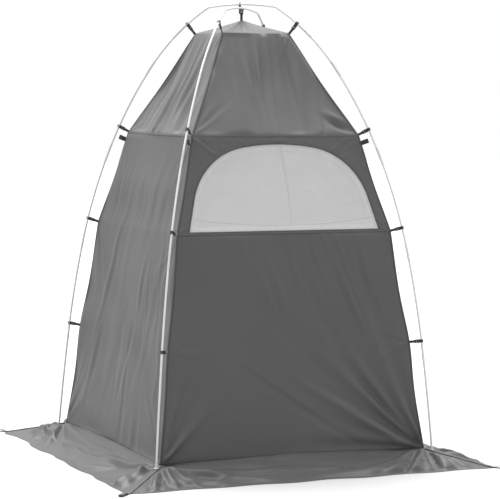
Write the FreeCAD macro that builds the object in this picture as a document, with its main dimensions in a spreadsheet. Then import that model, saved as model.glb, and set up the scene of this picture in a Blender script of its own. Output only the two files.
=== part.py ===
import FreeCAD, Part
import math
import os
import Sketcher

# Privacy shower tent: two crossed, shock-corded pole arches outside a clipped fabric shell
# with a ground skirt.  Units are millimetres.  Origin on the ground under the apex, +Z up,
# -Y is the window wall, +Y the door wall.

V = FreeCAD.Vector
doc = FreeCAD.newDocument("privacy_shower_tent")
os.makedirs("parts", exist_ok=True)

DIMENSIONS = [
    ("base_half", 678.0, "half width of the walls at their lower edge"),
    ("base_z", 70.0, "height of the walls' lower edge, where the skirt starts"),
    ("mid_half", 550.0, "half width at the mid seam"),
    ("mid_z", 1114.0, "height of the mid seam"),
    ("shoulder_half", 433.0, "half width at the shoulder seam"),
    ("shoulder_z", 1566.0, "height of the shoulder seam"),
    ("top_half", 174.0, "half width of the roof cap"),
    ("top_z", 2059.0, "height of the roof cap's lower edge"),
    ("apex_half", 6.0, "half width of the flat at the roof's peak"),
    ("apex_z", 2123.0, "height of the roof's peak"),
    ("skirt_half", 930.0, "half width of the ground skirt"),
    ("cloth", 1.2, "fabric panel thickness"),
    ("skirt_cut", 4.5, "horizontal cut through the skirt cloth"),
    ("cap_cut", 3.8, "horizontal cut through the roof cap cloth"),
    ("seam", 4.0, "how far a panel stops short of a corner seam"),
    ("seam_gap", 1.0, "how far a panel stops short of a level seam"),
    ("skirt_seam", 13.0, "how far a skirt panel stops short of its corner"),
    ("binding_leg", 12.0, "leg of the corner binding"),
    ("binding_cloth", 1.0, "thickness of the corner binding"),
    ("tube_r", 4.75, "pole tube outer radius"),
    ("tube_bore", 3.9, "pole tube bore radius"),
    ("ferrule_r", 5.5, "ferrule outer radius"),
    ("ferrule_bore", 4.86, "ferrule bore radius"),
    ("cord_r", 1.25, "shock cord radius"),
    ("tip_r", 5.4, "pole tip radius"),
    ("tip_h", 12.0, "pole tip height"),
    ("hook_r", 8.4, "clip hook outer radius"),
    ("hook_bore", 5.1, "clip hook inner radius"),
    ("hook_h", 14.0, "clip hook height along the pole"),
    ("clip_plate_h", 17.0, "clip plate height along the pole"),
    ("clip_plate_end", 34.0, "distance from the pole to the clip plate's end"),
    ("clip_plate_half", 2.0, "half thickness of the clip plate"),
    ("clip_web_h", 12.6, "clip strap width"),
    ("web", 1.2, "webbing thickness"),
    ("door_half", 310.0, "half width of the doorway"),
    ("door_low", 100.0, "height of the doorway's lower edge"),
    ("door_high", 1460.0, "height of the doorway's upper edge"),
    ("door_hinge_gap", 21.0, "door cloth to doorway at the hinge side"),
    ("door_gap", 8.0, "door cloth to doorway at the zip"),
    ("tape", 1.6, "zip tape and coil thickness"),
    ("tape_gap", 1.3, "half the gap between the zip's two halves"),
    ("tape_w", 18.0, "zip tape width"),
    ("window_w", 487.0, "half width of the window at the sill"),
    ("window_h", 426.0, "height of the window up the wall"),
    ("window_sill", 10.0, "window sill above the mid seam"),
    ("window_corner_r", 330.0, "radius of the window's shoulders"),
    ("window_top_r", 1080.0, "radius of the window's crown"),
    ("window_lean", 14.5, "lean of the window's sides"),
    ("mesh_lap", 9.0, "lap of the window mesh behind the wall"),
    ("mesh_cloth", 0.9, "window mesh thickness"),
    ("flap_inset", 6.0, "window flap edge inside the mesh edge"),
    ("guy_w", 22.0, "guy loop webbing width"),
    ("peg_w", 20.0, "peg loop webbing width"),
    ("eyelet_bore", 6.4, "foot eyelet inner radius"),
    ("eyelet_r", 10.0, "foot eyelet outer radius"),
]
# lengths of a leg's five sections and how far each bends, from the foot up
LEG = [(540.0, 2.20), (480.0, 5.24), (480.0, 10.04), (480.0, 12.25), (240.0, 12.647)]
LEG_FOOT = 1005.3
LEG_LEAN = 5.07
CLIP_HEIGHTS = [("low", 588.0), ("mid", 1128.0), ("shoulder", 1596.0), ("top", 2105.0)]
FERRULE_HALF = 42.0
ARCHES = [("outer", 190.0, 2200.0), ("inner", 149.0, 2181.0)]
ELBOW_R = 26.0

sheet = doc.addObject("Spreadsheet::Sheet", "Dimensions")
sheet.Label = "dims"
for row, (alias, value, note) in enumerate(DIMENSIONS, start=1):
    sheet.set("A%d" % row, note)
    sheet.set("B%d" % row, str(value))
    sheet.setAlias("B%d" % row, alias)
for row, (length, bend) in enumerate(LEG, start=len(DIMENSIONS) + 1):
    number = row - len(DIMENSIONS)
    sheet.set("A%d" % row, "leg section %d: length, then bend in degrees" % number)
    sheet.set("B%d" % row, str(length))
    sheet.setAlias("B%d" % row, "leg_len_%s" % "abcde"[number - 1])
    sheet.set("C%d" % row, str(bend))
    sheet.setAlias("C%d" % row, "leg_bend_%s" % "abcde"[number - 1])
doc.recompute()
D = {alias: value for alias, value, note in DIMENSIONS}
UP = V(0, 0, 1)


# ---------------------------------------------------------------- helpers
def word(text):
    """Write D names in an expression as spreadsheet references."""
    out = []
    for token in text.replace("(", " ( ").replace(")", " ) ").split():
        out.append("<<dims>>." + token if token in D or token.startswith("leg_") else token)
    return " ".join(out)


def value_of(text):
    """The number an expression over the sheet's names stands for."""
    total = sheet_value(text.replace("(", " ( ").replace(")", " ) ").split())
    return total


def sheet_value(tokens):
    numbers = []
    ops = []
    rank = {"+": 1, "-": 1, "*": 2, "/": 2}

    def fold():
        op = ops.pop()
        b = numbers.pop()
        a = numbers.pop()
        numbers.append({"+": a + b, "-": a - b, "*": a * b, "/": a / b if b else 0.0}[op])

    for token in tokens:
        if token == "(":
            ops.append(token)
        elif token == ")":
            while ops[-1] != "(":
                fold()
            ops.pop()
        elif token in rank:
            while ops and ops[-1] in rank and rank[ops[-1]] >= rank[token]:
                fold()
            ops.append(token)
        else:
            numbers.append(D[token] if token in D else float(token))
    while ops:
        fold()
    return numbers[0]


def new_body(label, placement=None, compound=False):
    body = doc.addObject("PartDesign::Body", label)
    body.Label = label
    if compound and hasattr(body, "AllowCompound"):
        body.AllowCompound = True
    if placement is not None:
        body.Placement = placement
    return body


def new_sketch(body, name, role="XY_Plane", height=None):
    sketch = body.newObject("Sketcher::SketchObject", name)
    plane = [f for f in body.Origin.OriginFeatures if f.Role == role][0]
    sketch.AttachmentSupport = [(plane, "")]
    sketch.MapMode = "FlatFace"
    if height is not None:
        sketch.AttachmentOffset = FreeCAD.Placement(V(0, 0, value_of(height)), FreeCAD.Rotation())
        sketch.setExpression("AttachmentOffset.Base.z", word(height))
    return sketch


def hold(sketch, geo, axis, expression):
    """Hold one line of an upright/level outline at a coordinate given by the sheet."""
    value = value_of(expression)
    kind = "Distance" + axis
    if abs(value) < 1e-9:
        sketch.addConstraint(Sketcher.Constraint("PointOnObject", geo, 1, -2 if axis == "X" else -1))
        return
    if value > 0:
        n = sketch.addConstraint(Sketcher.Constraint(kind, -1, 1, geo, 1, value))
        sketch.setExpression("Constraints[%d]" % n, word(expression))
        return
    n = sketch.addConstraint(Sketcher.Constraint(kind, geo, 1, -1, 1, -value))
    sketch.setExpression("Constraints[%d]" % n, word("0 - ( %s )" % expression))


def outline(sketch, corners):
    """Closed outline of level and upright lines; corners alternate, x then y changing."""
    points = [V(value_of(x), value_of(y), 0) for x, y in corners]
    first = sketch.GeometryCount
    count = len(points)
    for i in range(count):
        sketch.addGeometry(Part.LineSegment(points[i], points[(i + 1) % count]), False)
    for i in range(count):
        sketch.addConstraint(Sketcher.Constraint("Coincident", first + i, 2, first + (i + 1) % count, 1))
    for i in range(count):
        level = corners[i][1] == corners[(i + 1) % count][1]
        kind = "Horizontal" if level else "Vertical"
        sketch.addConstraint(Sketcher.Constraint(kind, first + i))
        hold(sketch, first + i, "Y" if level else "X", corners[i][1] if level else corners[i][0])


def box_outline(sketch, x0, x1, y0, y1):
    outline(sketch, [(x0, y0), (x1, y0), (x1, y1), (x0, y1)])


def circle(sketch, expression, x=0.0, y=0.0):
    geo = sketch.addGeometry(Part.Circle(V(x, y, 0), UP, value_of(expression)), False)
    if x == 0.0 and y == 0.0:
        sketch.addConstraint(Sketcher.Constraint("Coincident", geo, 3, -1, 1))
    else:
        sketch.addConstraint(Sketcher.Constraint("DistanceX", -1, 1, geo, 3, x))
        sketch.addConstraint(Sketcher.Constraint("PointOnObject", geo, 3, -1))
    n = sketch.addConstraint(Sketcher.Constraint("Radius", geo, value_of(expression)))
    sketch.setExpression("Constraints[%d]" % n, word(expression))


def pad(body, sketch, length, both=True, name="Pad", reverse=False):
    feature = body.newObject("PartDesign::Pad", name)
    feature.Profile = sketch
    feature.Length = value_of(length)
    feature.setExpression("Length", word(length))
    feature.Midplane = both
    feature.Reversed = reverse
    body.Tip = feature
    return feature


def cut_through(body, sketch, name="Pocket"):
    feature = body.newObject("PartDesign::Pocket", name)
    feature.Profile = sketch
    feature.Type = 1
    feature.Midplane = True
    body.Tip = feature
    return feature


def loft(body, sections, kind="PartDesign::AdditiveLoft"):
    """Ruled loft through (height, x0, x1, y0, y1) rectangles, or (height, corners)."""
    sketches = []
    for number, section in enumerate(sections):
        sketch = new_sketch(body, "%s_level_%d" % (body.Name, number), height=section[0])
        if len(section) == 2:
            outline(sketch, section[1])
        else:
            box_outline(sketch, *section[1:])
        sketches.append(sketch)
    feature = body.newObject(kind, "Loft")
    feature.Profile = sketches[0]
    feature.Sections = sketches[1:]
    feature.Ruled = True
    body.Tip = feature
    return feature


def group(label, members):
    compound = doc.addObject("Part::Compound", label)
    compound.Label = label
    compound.Links = members
    return compound


def turned(quarter):
    return FreeCAD.Placement(V(0, 0, 0), FreeCAD.Rotation(UP, 90.0 * quarter))


NODES = []


def node(obj):
    NODES.append(obj)
    return obj


# ---------------------------------------------------------------- the shell's levels
LEVELS = {"base": ("base_z", "base_half"), "mid": ("mid_z", "mid_half"),
          "shoulder": ("shoulder_z", "shoulder_half"), "top": ("top_z", "top_half")}
SPANS = [("base", "mid"), ("mid", "shoulder"), ("shoulder", "top")]


def half_at(height):
    """Expression for the shell's half width at a height given as an expression."""
    z = value_of(height)
    for low, high in SPANS:
        z_low, h_low = LEVELS[low]
        z_high, h_high = LEVELS[high]
        if z <= D[z_high] + 1e-6 or high == "top":
            text = "%s - ( %s - %s ) * ( %s - %s ) / ( %s - %s )"
            return text % (h_low, height, z_low, h_low, h_high, z_high, z_low)


def panel_section(height, x0=None, x1=None, outside="0", inside="cloth"):
    """Rectangle through a wall at a height: outside/inside are distances into the cloth."""
    h = half_at(height)
    if x0 is None:
        x0 = "0 - ( %s - seam )" % h
        x1 = "%s - seam" % h
    return (height, x0, x1, "0 - ( %s ) + %s" % (h, outside), "0 - ( %s ) + %s" % (h, inside))


def wall_panel(label, quarter, heights):
    body = new_body(label, turned(quarter))
    loft(body, [panel_section(height) for height in heights])
    return body


WALL_LOW = "base_z + seam_gap"
MID_LOW = "mid_z - seam_gap"
MID_HIGH = "mid_z + seam_gap"
SHOULDER_LOW = "shoulder_z - seam_gap"
SHOULDER_HIGH = "shoulder_z + seam_gap"
TOP_LOW = "top_z - seam_gap"

# quarter turns: 0 is the window wall (-Y), 1 the +X wall, 2 the door wall (+Y), 3 the -X wall
node(wall_panel("front_lower_panel", 0, [WALL_LOW, MID_LOW]))
node(wall_panel("right_side_wall", 1, [WALL_LOW, "mid_z", SHOULDER_LOW]))
node(wall_panel("left_side_wall", 3, [WALL_LOW, "mid_z", SHOULDER_LOW]))
for quarter, name in enumerate(["front", "right", "back", "left"]):
    node(wall_panel("roof_slope_%s" % name, quarter, [SHOULDER_HIGH, TOP_LOW]))

# door wall with its doorway
door_wall = wall_panel("door_wall_panel", 2, [WALL_LOW, "mid_z", SHOULDER_LOW])
doorway = new_sketch(door_wall, "doorway", "XZ_Plane")
box_outline(doorway, "0 - door_half", "door_half", "door_low", "door_high")
cut_through(door_wall, doorway)
node(door_wall)


# ---------------------------------------------------------------- window wall
def wall_frame(low, high, height):
    """Placement on the window wall: X across, Y into the tent, Z up the wall."""
    z_low, h_low = (D[n] for n in LEVELS[low])
    z_high, h_high = (D[n] for n in LEVELS[high])
    lean = math.degrees(math.atan2(h_low - h_high, z_high - z_low))
    half = h_low - (height - z_low) * (h_low - h_high) / (z_high - z_low)
    return FreeCAD.Placement(V(0, -half, height), FreeCAD.Rotation(V(1, 0, 0), -lean))


def window_outline(sketch, grow):
    """The window's D: sill, two leaning sides, two shoulders and a crown."""
    lean = math.radians(D["window_lean"])
    w = D["window_w"] + grow / math.cos(lean)
    h = D["window_h"] + grow
    sill = D["window_sill"] - grow
    r1 = D["window_corner_r"] + grow
    r2 = D["window_top_r"] + grow
    side = V(-math.sin(lean), math.cos(lean), 0)
    inward = V(-math.cos(lean), -math.sin(lean), 0)
    foot = V(w, D["window_sill"], 0)
    crown = V(0, h - r2, 0)
    offset = foot + inward * r1 - crown
    b = offset.dot(side)
    s = -b + math.sqrt(b * b - offset.dot(offset) + (r2 - r1) ** 2)
    centre = foot + side * s + inward * r1
    low = foot - side * ((D["window_sill"] - sill) / side.y)
    shoulder = foot + side * s
    start = math.atan2(-inward.y, -inward.x)
    stop = math.atan2(centre.y - crown.y, centre.x - crown.x)
    g = sketch.GeometryCount
    mirror = V(-low.x, low.y, 0)
    left_centre = V(-centre.x, centre.y, 0)
    sketch.addGeometry(Part.LineSegment(mirror, low), False)
    sketch.addGeometry(Part.LineSegment(low, shoulder), False)
    sketch.addGeometry(Part.ArcOfCircle(Part.Circle(centre, UP, r1), start, stop), False)
    sketch.addGeometry(Part.ArcOfCircle(Part.Circle(crown, UP, r2), stop, math.pi - stop), False)
    sketch.addGeometry(Part.ArcOfCircle(Part.Circle(left_centre, UP, r1), math.pi - stop, math.pi - start),
                       False)
    sketch.addGeometry(Part.LineSegment(V(-shoulder.x, shoulder.y, 0), mirror), False)
    C = Sketcher.Constraint
    for i in range(6):
        kind = "Coincident" if i in (0, 5) else "Tangent"
        sketch.addConstraint(C(kind, g + i, 2, g + (i + 1) % 6, 1))
    sketch.addConstraint(C("Symmetric", g, 1, g, 2, -2))
    sketch.addConstraint(C("PointOnObject", g + 3, 3, -2))
    sketch.addConstraint(C("Equal", g + 2, g + 4))
    sketch.addConstraint(C("Horizontal", g + 2, 3, g + 4, 3))
    bound = [
        (C("Radius", g + 2, r1), "window_corner_r + %s" % grow),
        (C("Radius", g + 3, r2), "window_top_r + %s" % grow),
        (C("DistanceY", g + 3, 3, -1, 1, r2 - h), "window_top_r - window_h"),
        (C("DistanceY", -1, 1, g, 1, sill) if sill > 0 else C("DistanceY", g, 1, -1, 1, -sill),
         "window_sill - %s" % grow if sill > 0 else "%s - window_sill" % grow),
        (C("Angle", g + 1, math.radians(90) + lean), "90 + window_lean"),
    ]
    for constraint, expression in bound:
        n = sketch.addConstraint(constraint)
        sketch.setExpression("Constraints[%d]" % n, word(expression))
    sketch.addConstraint(C("DistanceX", g, 1, g, 2, 2 * low.x))


def window_plate(label, front, back, grow, hole=None):
    """Window-shaped plate between two depths behind the wall's outer face."""
    body = new_body(label, WINDOW)
    sketch = new_sketch(body, label + "_outline", "XZ_Plane", height="0 - ( %s )" % front)
    window_outline(sketch, grow)
    pad(body, sketch, "( %s ) - ( %s )" % (back, front), both=False, reverse=True)
    if hole is not None:
        cut = new_sketch(body, label + "_hole", "XZ_Plane")
        window_outline(cut, hole)
        cut_through(body, cut)
    return body


LEAN = math.degrees(math.atan2(D["mid_half"] - D["shoulder_half"], D["shoulder_z"] - D["mid_z"]))
WINDOW = FreeCAD.Placement(V(0, -D["mid_half"], D["mid_z"]), FreeCAD.Rotation(V(1, 0, 0), -LEAN))
window_panel = wall_panel("front_window_panel", 0, [MID_HIGH, SHOULDER_LOW])
opening = new_sketch(window_panel, "window_opening", "XZ_Plane")
opening.AttachmentOffset = FreeCAD.Placement(V(0, D["mid_z"], D["mid_half"]),
                                             FreeCAD.Rotation(V(1, 0, 0), -LEAN))
window_outline(opening, 0.0)
cut_through(window_panel, opening)
node(window_panel)

MESH_FRONT = "cloth + 0.1"
MESH_BACK = "cloth + 0.1 + mesh_cloth"
node(window_plate("window_mesh", MESH_FRONT, MESH_BACK, D["mesh_lap"]))
node(window_plate("window_hook_strip", MESH_BACK, MESH_BACK + " + 0.9", D["mesh_lap"] - 4.0, -10.0))
strip = window_plate("window_loop_strip", MESH_BACK + " + 1.1", MESH_BACK + " + 2.0",
                     D["mesh_lap"] - 4.0, -10.0)
node(strip)
node(window_plate("window_flap", MESH_BACK + " + 2.0", MESH_BACK + " + 2.9", D["mesh_lap"] - 2.0))
node(window_plate("window_binding", "0 - 1.1", "0", 8.0, 0.0))


# ---------------------------------------------------------------- door
def strip_body(label, quarter, heights, x0, x1, outside, inside):
    body = new_body(label, turned(quarter))
    loft(body, [panel_section(z, x0, x1, outside, inside) for z in heights])
    return body


DOOR_LOW = "door_low + 8.0"
DOOR_HIGH = "door_high - door_gap"
node(strip_body("door_panel", 2, [DOOR_LOW, "mid_z", DOOR_HIGH], "0 - door_half + door_hinge_gap",
                "door_half - door_gap", "0", "cloth"))
SPLIT = "door_half - door_gap / 2"
OUT = "0 - tape"
wall_side = strip_body("zip_wall_upright", 2, ["door_low", "mid_z", "door_high + tape_w"],
                       SPLIT + " + tape_gap", SPLIT + " + tape_gap + tape_w", OUT, "0")
wall_top = strip_body("zip_wall_level", 2, ["door_high - door_gap / 2 + tape_gap", "door_high + tape_w"],
                      "0 - door_half + door_hinge_gap", SPLIT + " + tape_gap - 0.4", OUT, "0")
node(group("door_zip_wall_tape", [wall_side, wall_top]))
door_side = strip_body("zip_door_upright", 2, [DOOR_LOW, "mid_z", "door_high - door_gap / 2 - tape_gap"],
                       SPLIT + " - tape_gap - tape_w", SPLIT + " - tape_gap", OUT, "0")
door_top = strip_body("zip_door_level", 2, ["door_high - tape_w - door_gap / 2 - tape_gap",
                                            "door_high - door_gap / 2 - tape_gap"],
                      "0 - door_half + door_hinge_gap", SPLIT + " - tape_gap - tape_w - 0.4", OUT, "0")
node(group("door_zip_door_tape", [door_side, door_top]))

# slider: runs up the straight lower stretch of the zip, straddling the wall's half of the tape
LOW_LEAN = math.degrees(math.atan2(D["base_half"] - D["mid_half"], D["mid_z"] - D["base_z"]))
SLIDER_Z = D["door_low"] + 22.0
slider_x = D["door_half"] - D["door_gap"] / 2
slider_half = value_of(half_at(str(SLIDER_Z)))
ON_ZIP = FreeCAD.Placement(V(0, 0, 0), FreeCAD.Rotation(UP, 180)).multiply(
    FreeCAD.Placement(V(slider_x, -slider_half, SLIDER_Z), FreeCAD.Rotation(V(1, 0, 0), -LOW_LEAN)))
slider = new_body("door_zip_slider", ON_ZIP)
profile = new_sketch(slider, "slider_profile")
outline(profile, [("0 - 0.6", "0 - tape - 2.4"), ("11.4", "0 - tape - 2.4"), ("11.4", "0 - tape - 0.5"),
                  ("0.6", "0 - tape - 0.5"), ("0.6", "cloth + 0.5"), ("11.4", "cloth + 0.5"),
                  ("11.4", "cloth + 2.4"), ("0 - 0.6", "cloth + 2.4")])
pad(slider, profile, "13.0", name="SliderPlates")
for name, near, far in [("outer", "0 - tape - 8.0", "0 - tape - 2.2"), ("inner", "cloth + 2.2", "cloth + 8.0")]:
    lug = new_sketch(slider, "slider_lugs_" + name)
    box_outline(lug, "2.1", "3.4", near, far)
    box_outline(lug, "8.0", "9.3", near, far)
    pad(slider, lug, "4.0", name="Lugs")
for name, y in [("outer", -D["tape"] - 6.2), ("inner", D["cloth"] + 6.2)]:
    pin = new_sketch(slider, "slider_pin_" + name, "YZ_Plane", height="2.1")
    pin.addGeometry(Part.Circle(V(y, 0, 0), UP, 0.8), False)
    pad(slider, pin, "7.2", both=False, name="Pin")
node(slider)


def pull_tab(label, depth, tilt):
    """Pull tab hanging from one of the slider's pins."""
    at = ON_ZIP.multiply(FreeCAD.Placement(V(5.7, depth, 0), FreeCAD.Rotation(V(1, 0, 0), tilt)))
    body = new_body(label, at)
    eye = new_sketch(body, label + "_eye", "YZ_Plane")
    circle(eye, "1.75")
    pad(body, eye, "3.6", name="Eye")
    blade = new_sketch(body, label + "_blade")
    box_outline(blade, "0 - 1.8", "1.8", "0 - 0.7", "0.7")
    pad(body, blade, "30.0", both=False, reverse=True, name="Blade")
    bore = new_sketch(body, label + "_bore", "YZ_Plane")
    circle(bore, "1.15")
    cut_through(body, bore)
    return body


node(pull_tab("door_pull_outside", -D["tape"] - 6.2, LOW_LEAN))
node(pull_tab("door_pull_inside", D["cloth"] + 6.2, LOW_LEAN))

# ---------------------------------------------------------------- roof cap, skirt, bindings
gores = []
for quarter in range(4):
    gore = new_body("roof_gore_%d" % quarter, turned(quarter))
    rim = "( top_half - cap_cut - 2.8 )"
    peak = "( apex_half - cap_cut - 0.8 )"
    loft(gore, [("top_z + seam_gap", "0 - " + rim, rim, "0 - top_half + 2", "0 - top_half + 2 + cap_cut"),
                ("apex_z", "0 - " + peak, peak, "0 - apex_half", "0 - apex_half + cap_cut")])
    gores.append(gore)
node(group("roof_cap", gores))

for quarter, name in enumerate(["front", "right", "back", "left"]):
    skirt = new_body("skirt_%s" % name, turned(quarter))
    edge = "( skirt_half - skirt_seam )"
    root = "( base_half + 2 - skirt_seam )"
    loft(skirt, [("0", "0 - " + edge, edge, "0 - skirt_half", "0 - skirt_half + skirt_cut"),
                 ("base_z - seam_gap", "0 - " + root, root, "0 - base_half - 2",
                  "0 - base_half - 2 + skirt_cut")])
    node(skirt)

CORNERS = ["front_left", "front_right", "back_right", "back_left"]
for quarter, name in enumerate(CORNERS):
    body = new_body("corner_binding_%s" % name, turned(quarter))
    sections = []
    for height in [WALL_LOW, "mid_z", "shoulder_z", TOP_LOW]:
        h = half_at(height)
        far = "0 - ( %s ) - binding_cloth" % h
        near = "0 - ( %s )" % h
        leg = "0 - ( %s ) + binding_leg" % h
        sections.append((height, [(far, far), (leg, far), (leg, near), (near, near), (near, leg), (far, leg)]))
    loft(body, sections)
    node(body)

seams = []
for quarter in range(4):
    seam = new_body("shoulder_seam_%d" % quarter, turned(quarter))
    profile = new_sketch(seam, "seam_plan_%d" % quarter, height="shoulder_z - 5")
    reach = "( shoulder_half - binding_leg - 1 )"
    box_outline(profile, "0 - " + reach, reach, "0 - shoulder_half - 2.8", "0 - shoulder_half - 1.5")
    pad(seam, profile, "9.0", both=False)
    seams.append(seam)
node(group("shoulder_seam_piping", seams))
mid_seam = new_body("front_mid_seam_piping")
profile = new_sketch(mid_seam, "mid_seam_plan", height="mid_z - 5")
reach = "( mid_half - binding_leg - 1 )"
box_outline(profile, "0 - " + reach, reach, "0 - mid_half - 2.2", "0 - mid_half - 1.3")
pad(mid_seam, profile, "4.0", both=False)
node(mid_seam)

# ---------------------------------------------------------------- poles
def diagonal(corner):
    """Unit vector from the middle of the tent towards a corner."""
    return FreeCAD.Rotation(UP, 90.0 * corner).multVec(V(-1, -1, 0)).normalize()


def leg_state(s):
    """Distance from the middle, height and lean at a distance s up the leg."""
    d, z, lean = LEG_FOOT, 0.0, math.radians(LEG_LEAN)
    for number, (length, bend) in enumerate(LEG):
        run = max(s, 0.0) if number == len(LEG) - 1 else min(max(s, 0.0), length)
        radius = length / math.radians(bend)
        turn = run / radius
        d -= radius * (math.cos(lean) - math.cos(lean + turn))
        z += radius * (math.sin(lean + turn) - math.sin(lean))
        lean += turn
        s -= length
        if s <= 0:
            break
    return d, z, lean


def pole_frame(corner, s, reverse_x=False):
    """Placement on a leg: Z along the pole, X inwards (outwards when reversed)."""
    d, z, lean = leg_state(s)
    u = diagonal(corner)
    along = u * -math.sin(lean) + UP * math.cos(lean)
    x = (u * math.cos(lean) + UP * math.sin(lean)) * (1 if reverse_x else -1)
    return FreeCAD.Placement(u * d + UP * z, FreeCAD.Rotation(x, along.cross(x), along, "ZXY"))


def bent_tube(body, name, radius, bend, outer, bore, reverse=False, bend_expr=None):
    """Tube bent about a line parallel to the body's Y axis at x = radius."""
    sketch = new_sketch(body, name)
    circle(sketch, outer)
    if bore is not None:
        circle(sketch, bore)
    axis = sketch.addGeometry(Part.LineSegment(V(radius, -10, 0), V(radius, 10, 0)), True)
    sketch.addConstraint(Sketcher.Constraint("Vertical", axis))
    sketch.addConstraint(Sketcher.Constraint("DistanceX", -1, 1, axis, 1, radius))
    sketch.addConstraint(Sketcher.Constraint("DistanceY", axis, 1, -1, 1, 10.0))
    sketch.addConstraint(Sketcher.Constraint("DistanceY", -1, 1, axis, 2, 10.0))
    feature = body.newObject("PartDesign::Revolution", name + "_bend")
    feature.Profile = sketch
    feature.ReferenceAxis = (sketch, ["Axis0"])
    feature.Angle = bend
    if bend_expr is not None:
        feature.setExpression("Angle", bend_expr)
    feature.Reversed = reverse
    body.Tip = feature


starts = [0.0]
for length, bend in LEG:
    starts.append(starts[-1] + length)
FOOT_START = D["tip_h"] + 0.7
for corner, name in enumerate(CORNERS):
    sections = []
    for number, (length, bend) in enumerate(LEG):
        low = starts[number] + (FOOT_START if number == 0 else 0.2)
        high = starts[number + 1] - 0.2
        radius = length / math.radians(bend)
        body = new_body("%s_pole_section_%d" % (name, number + 1), pole_frame(corner, low))
        bent_tube(body, "%s_tube_%d" % (name, number + 1), radius, math.degrees((high - low) / radius),
                  "tube_r", "tube_bore")
        sections.append(body)
    node(group("pole_sections_%s" % name, sections))
for corner, name in enumerate(CORNERS):
    ferrules = []
    for number in range(5):
        joint = starts[number + 1]
        body = new_body("%s_ferrule_%d" % (name, number + 1), pole_frame(corner, joint))
        upper = min(number + 1, 4)
        for way, part in enumerate([upper, number]):
            radius = LEG[part][0] / math.radians(LEG[part][1])
            bent_tube(body, "%s_sleeve_%d_%d" % (name, number + 1, way), radius,
                      math.degrees(FERRULE_HALF / radius), "ferrule_r", "ferrule_bore", reverse=way == 1)
        ferrules.append(body)
    node(group("ferrules_%s" % name, ferrules))

tips = []
for corner, name in enumerate(CORNERS):
    spot = FreeCAD.Placement(diagonal(corner) * LEG_FOOT, FreeCAD.Rotation())
    body = new_body("%s_tip" % name, spot)
    round_plan = new_sketch(body, "%s_tip_plan" % name)
    circle(round_plan, "tip_r")
    pad(body, round_plan, "tip_h", both=False)
    tips.append(body)
node(group("pole_tips", tips))


def path_arcs(sketch, arcs):
    """Chain of tangent arcs from the origin, starting upwards and bending towards +X."""
    x, z, turned_by = 0.0, 0.0, 0.0
    for number, (radius, turn) in enumerate(arcs):
        cx = x + radius * math.cos(turned_by)
        cz = z - radius * math.sin(turned_by)
        begin = math.pi - turned_by
        end = begin - turn
        sketch.addGeometry(Part.ArcOfCircle(Part.Circle(V(cx, cz, 0), UP, radius), end, begin), False)
        if number:
            sketch.addConstraint(Sketcher.Constraint("Coincident", number - 1, 1, number, 2))
        x = cx + radius * math.cos(end)
        z = cz + radius * math.sin(end)
        turned_by += turn
    return x, z


def pipe(label, placement, arcs, outer, bore=None):
    body = new_body(label, placement)
    profile = new_sketch(body, label + "_profile")
    circle(profile, outer)
    if bore is not None:
        circle(profile, bore)
    path = new_sketch(body, label + "_path", "XZ_Plane")
    path_arcs(path, arcs)
    feature = body.newObject("PartDesign::AdditivePipe", label + "_pipe")
    feature.Profile = profile
    feature.Spine = (path, ["Edge%d" % (i + 1) for i in range(len(arcs))])
    body.Tip = feature
    return body


def top_arcs(tail, crossing):
    """Tail, elbow and half-crown bends that bring the arch level at its crossing height."""
    d, z, lean = leg_state(starts[-1])
    tail_r = LEG[-1][0] / math.radians(LEG[-1][1])
    turn = tail / tail_r
    d -= tail_r * (math.cos(lean) - math.cos(lean + turn))
    z += tail_r * (math.sin(lean + turn) - math.sin(lean))
    lean += turn
    rise = 0.1
    for step in range(60):
        level = math.pi / 2 - rise
        d1 = d - ELBOW_R * (math.cos(lean) - math.cos(level))
        z1 = z + ELBOW_R * (math.sin(level) - math.sin(lean))
        rise = 2 * math.atan2(crossing - z1, d1)
    crown_r = d1 / math.sin(rise)
    return [(tail_r, turn), (ELBOW_R, level - lean), (crown_r, rise)]


LEG_ARCS = [(length / math.radians(bend), math.radians(bend)) for length, bend in LEG]
for number, (name, tail, crossing) in enumerate(ARCHES):
    corner = 3 if name == "outer" else 0
    half_arch = top_arcs(tail, crossing)
    crown_r, rise = half_arch[2]
    full = half_arch[:2] + [(crown_r, 2 * rise)] + half_arch[1::-1]
    trim = 0.2 / full[0][0]
    ends = [(full[0][0], full[0][1] - trim)] + full[1:-1] + [(full[-1][0], full[-1][1] - trim)]
    node(pipe("%s_arch_top_tube" % name, pole_frame(corner, starts[-1] + 0.2), ends, "tube_r", "tube_bore"))
    first_r, first_turn = LEG_ARCS[0]
    cut = (D["tip_h"] + 3.0) / first_r
    leg = [(first_r, first_turn - cut)] + LEG_ARCS[1:]
    node(pipe("%s_arch_shock_cord" % name, pole_frame(corner, D["tip_h"] + 3.0), leg + full + leg[::-1],
              "cord_r"))


# ---------------------------------------------------------------- clips
def corner_line(z):
    """Distance of the shell's corner seam from the middle at a height."""
    return value_of(half_at(str(z))) * math.sqrt(2)


def s_at_height(height):
    low, high = 0.0, starts[-1] + ARCHES[1][1]
    for step in range(60):
        middle = (low + high) / 2
        if leg_state(middle)[1] < height:
            low = middle
        else:
            high = middle
    return low


def reach_to_shell(s):
    """Distance from the pole to the corner seam, square to the pole."""
    d, z, lean = leg_state(s)
    low, high = 20.0, 120.0
    for step in range(60):
        middle = (low + high) / 2
        if d - middle * math.cos(lean) > corner_line(z - middle * math.sin(lean)):
            low = middle
        else:
            high = middle
    return low


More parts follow.
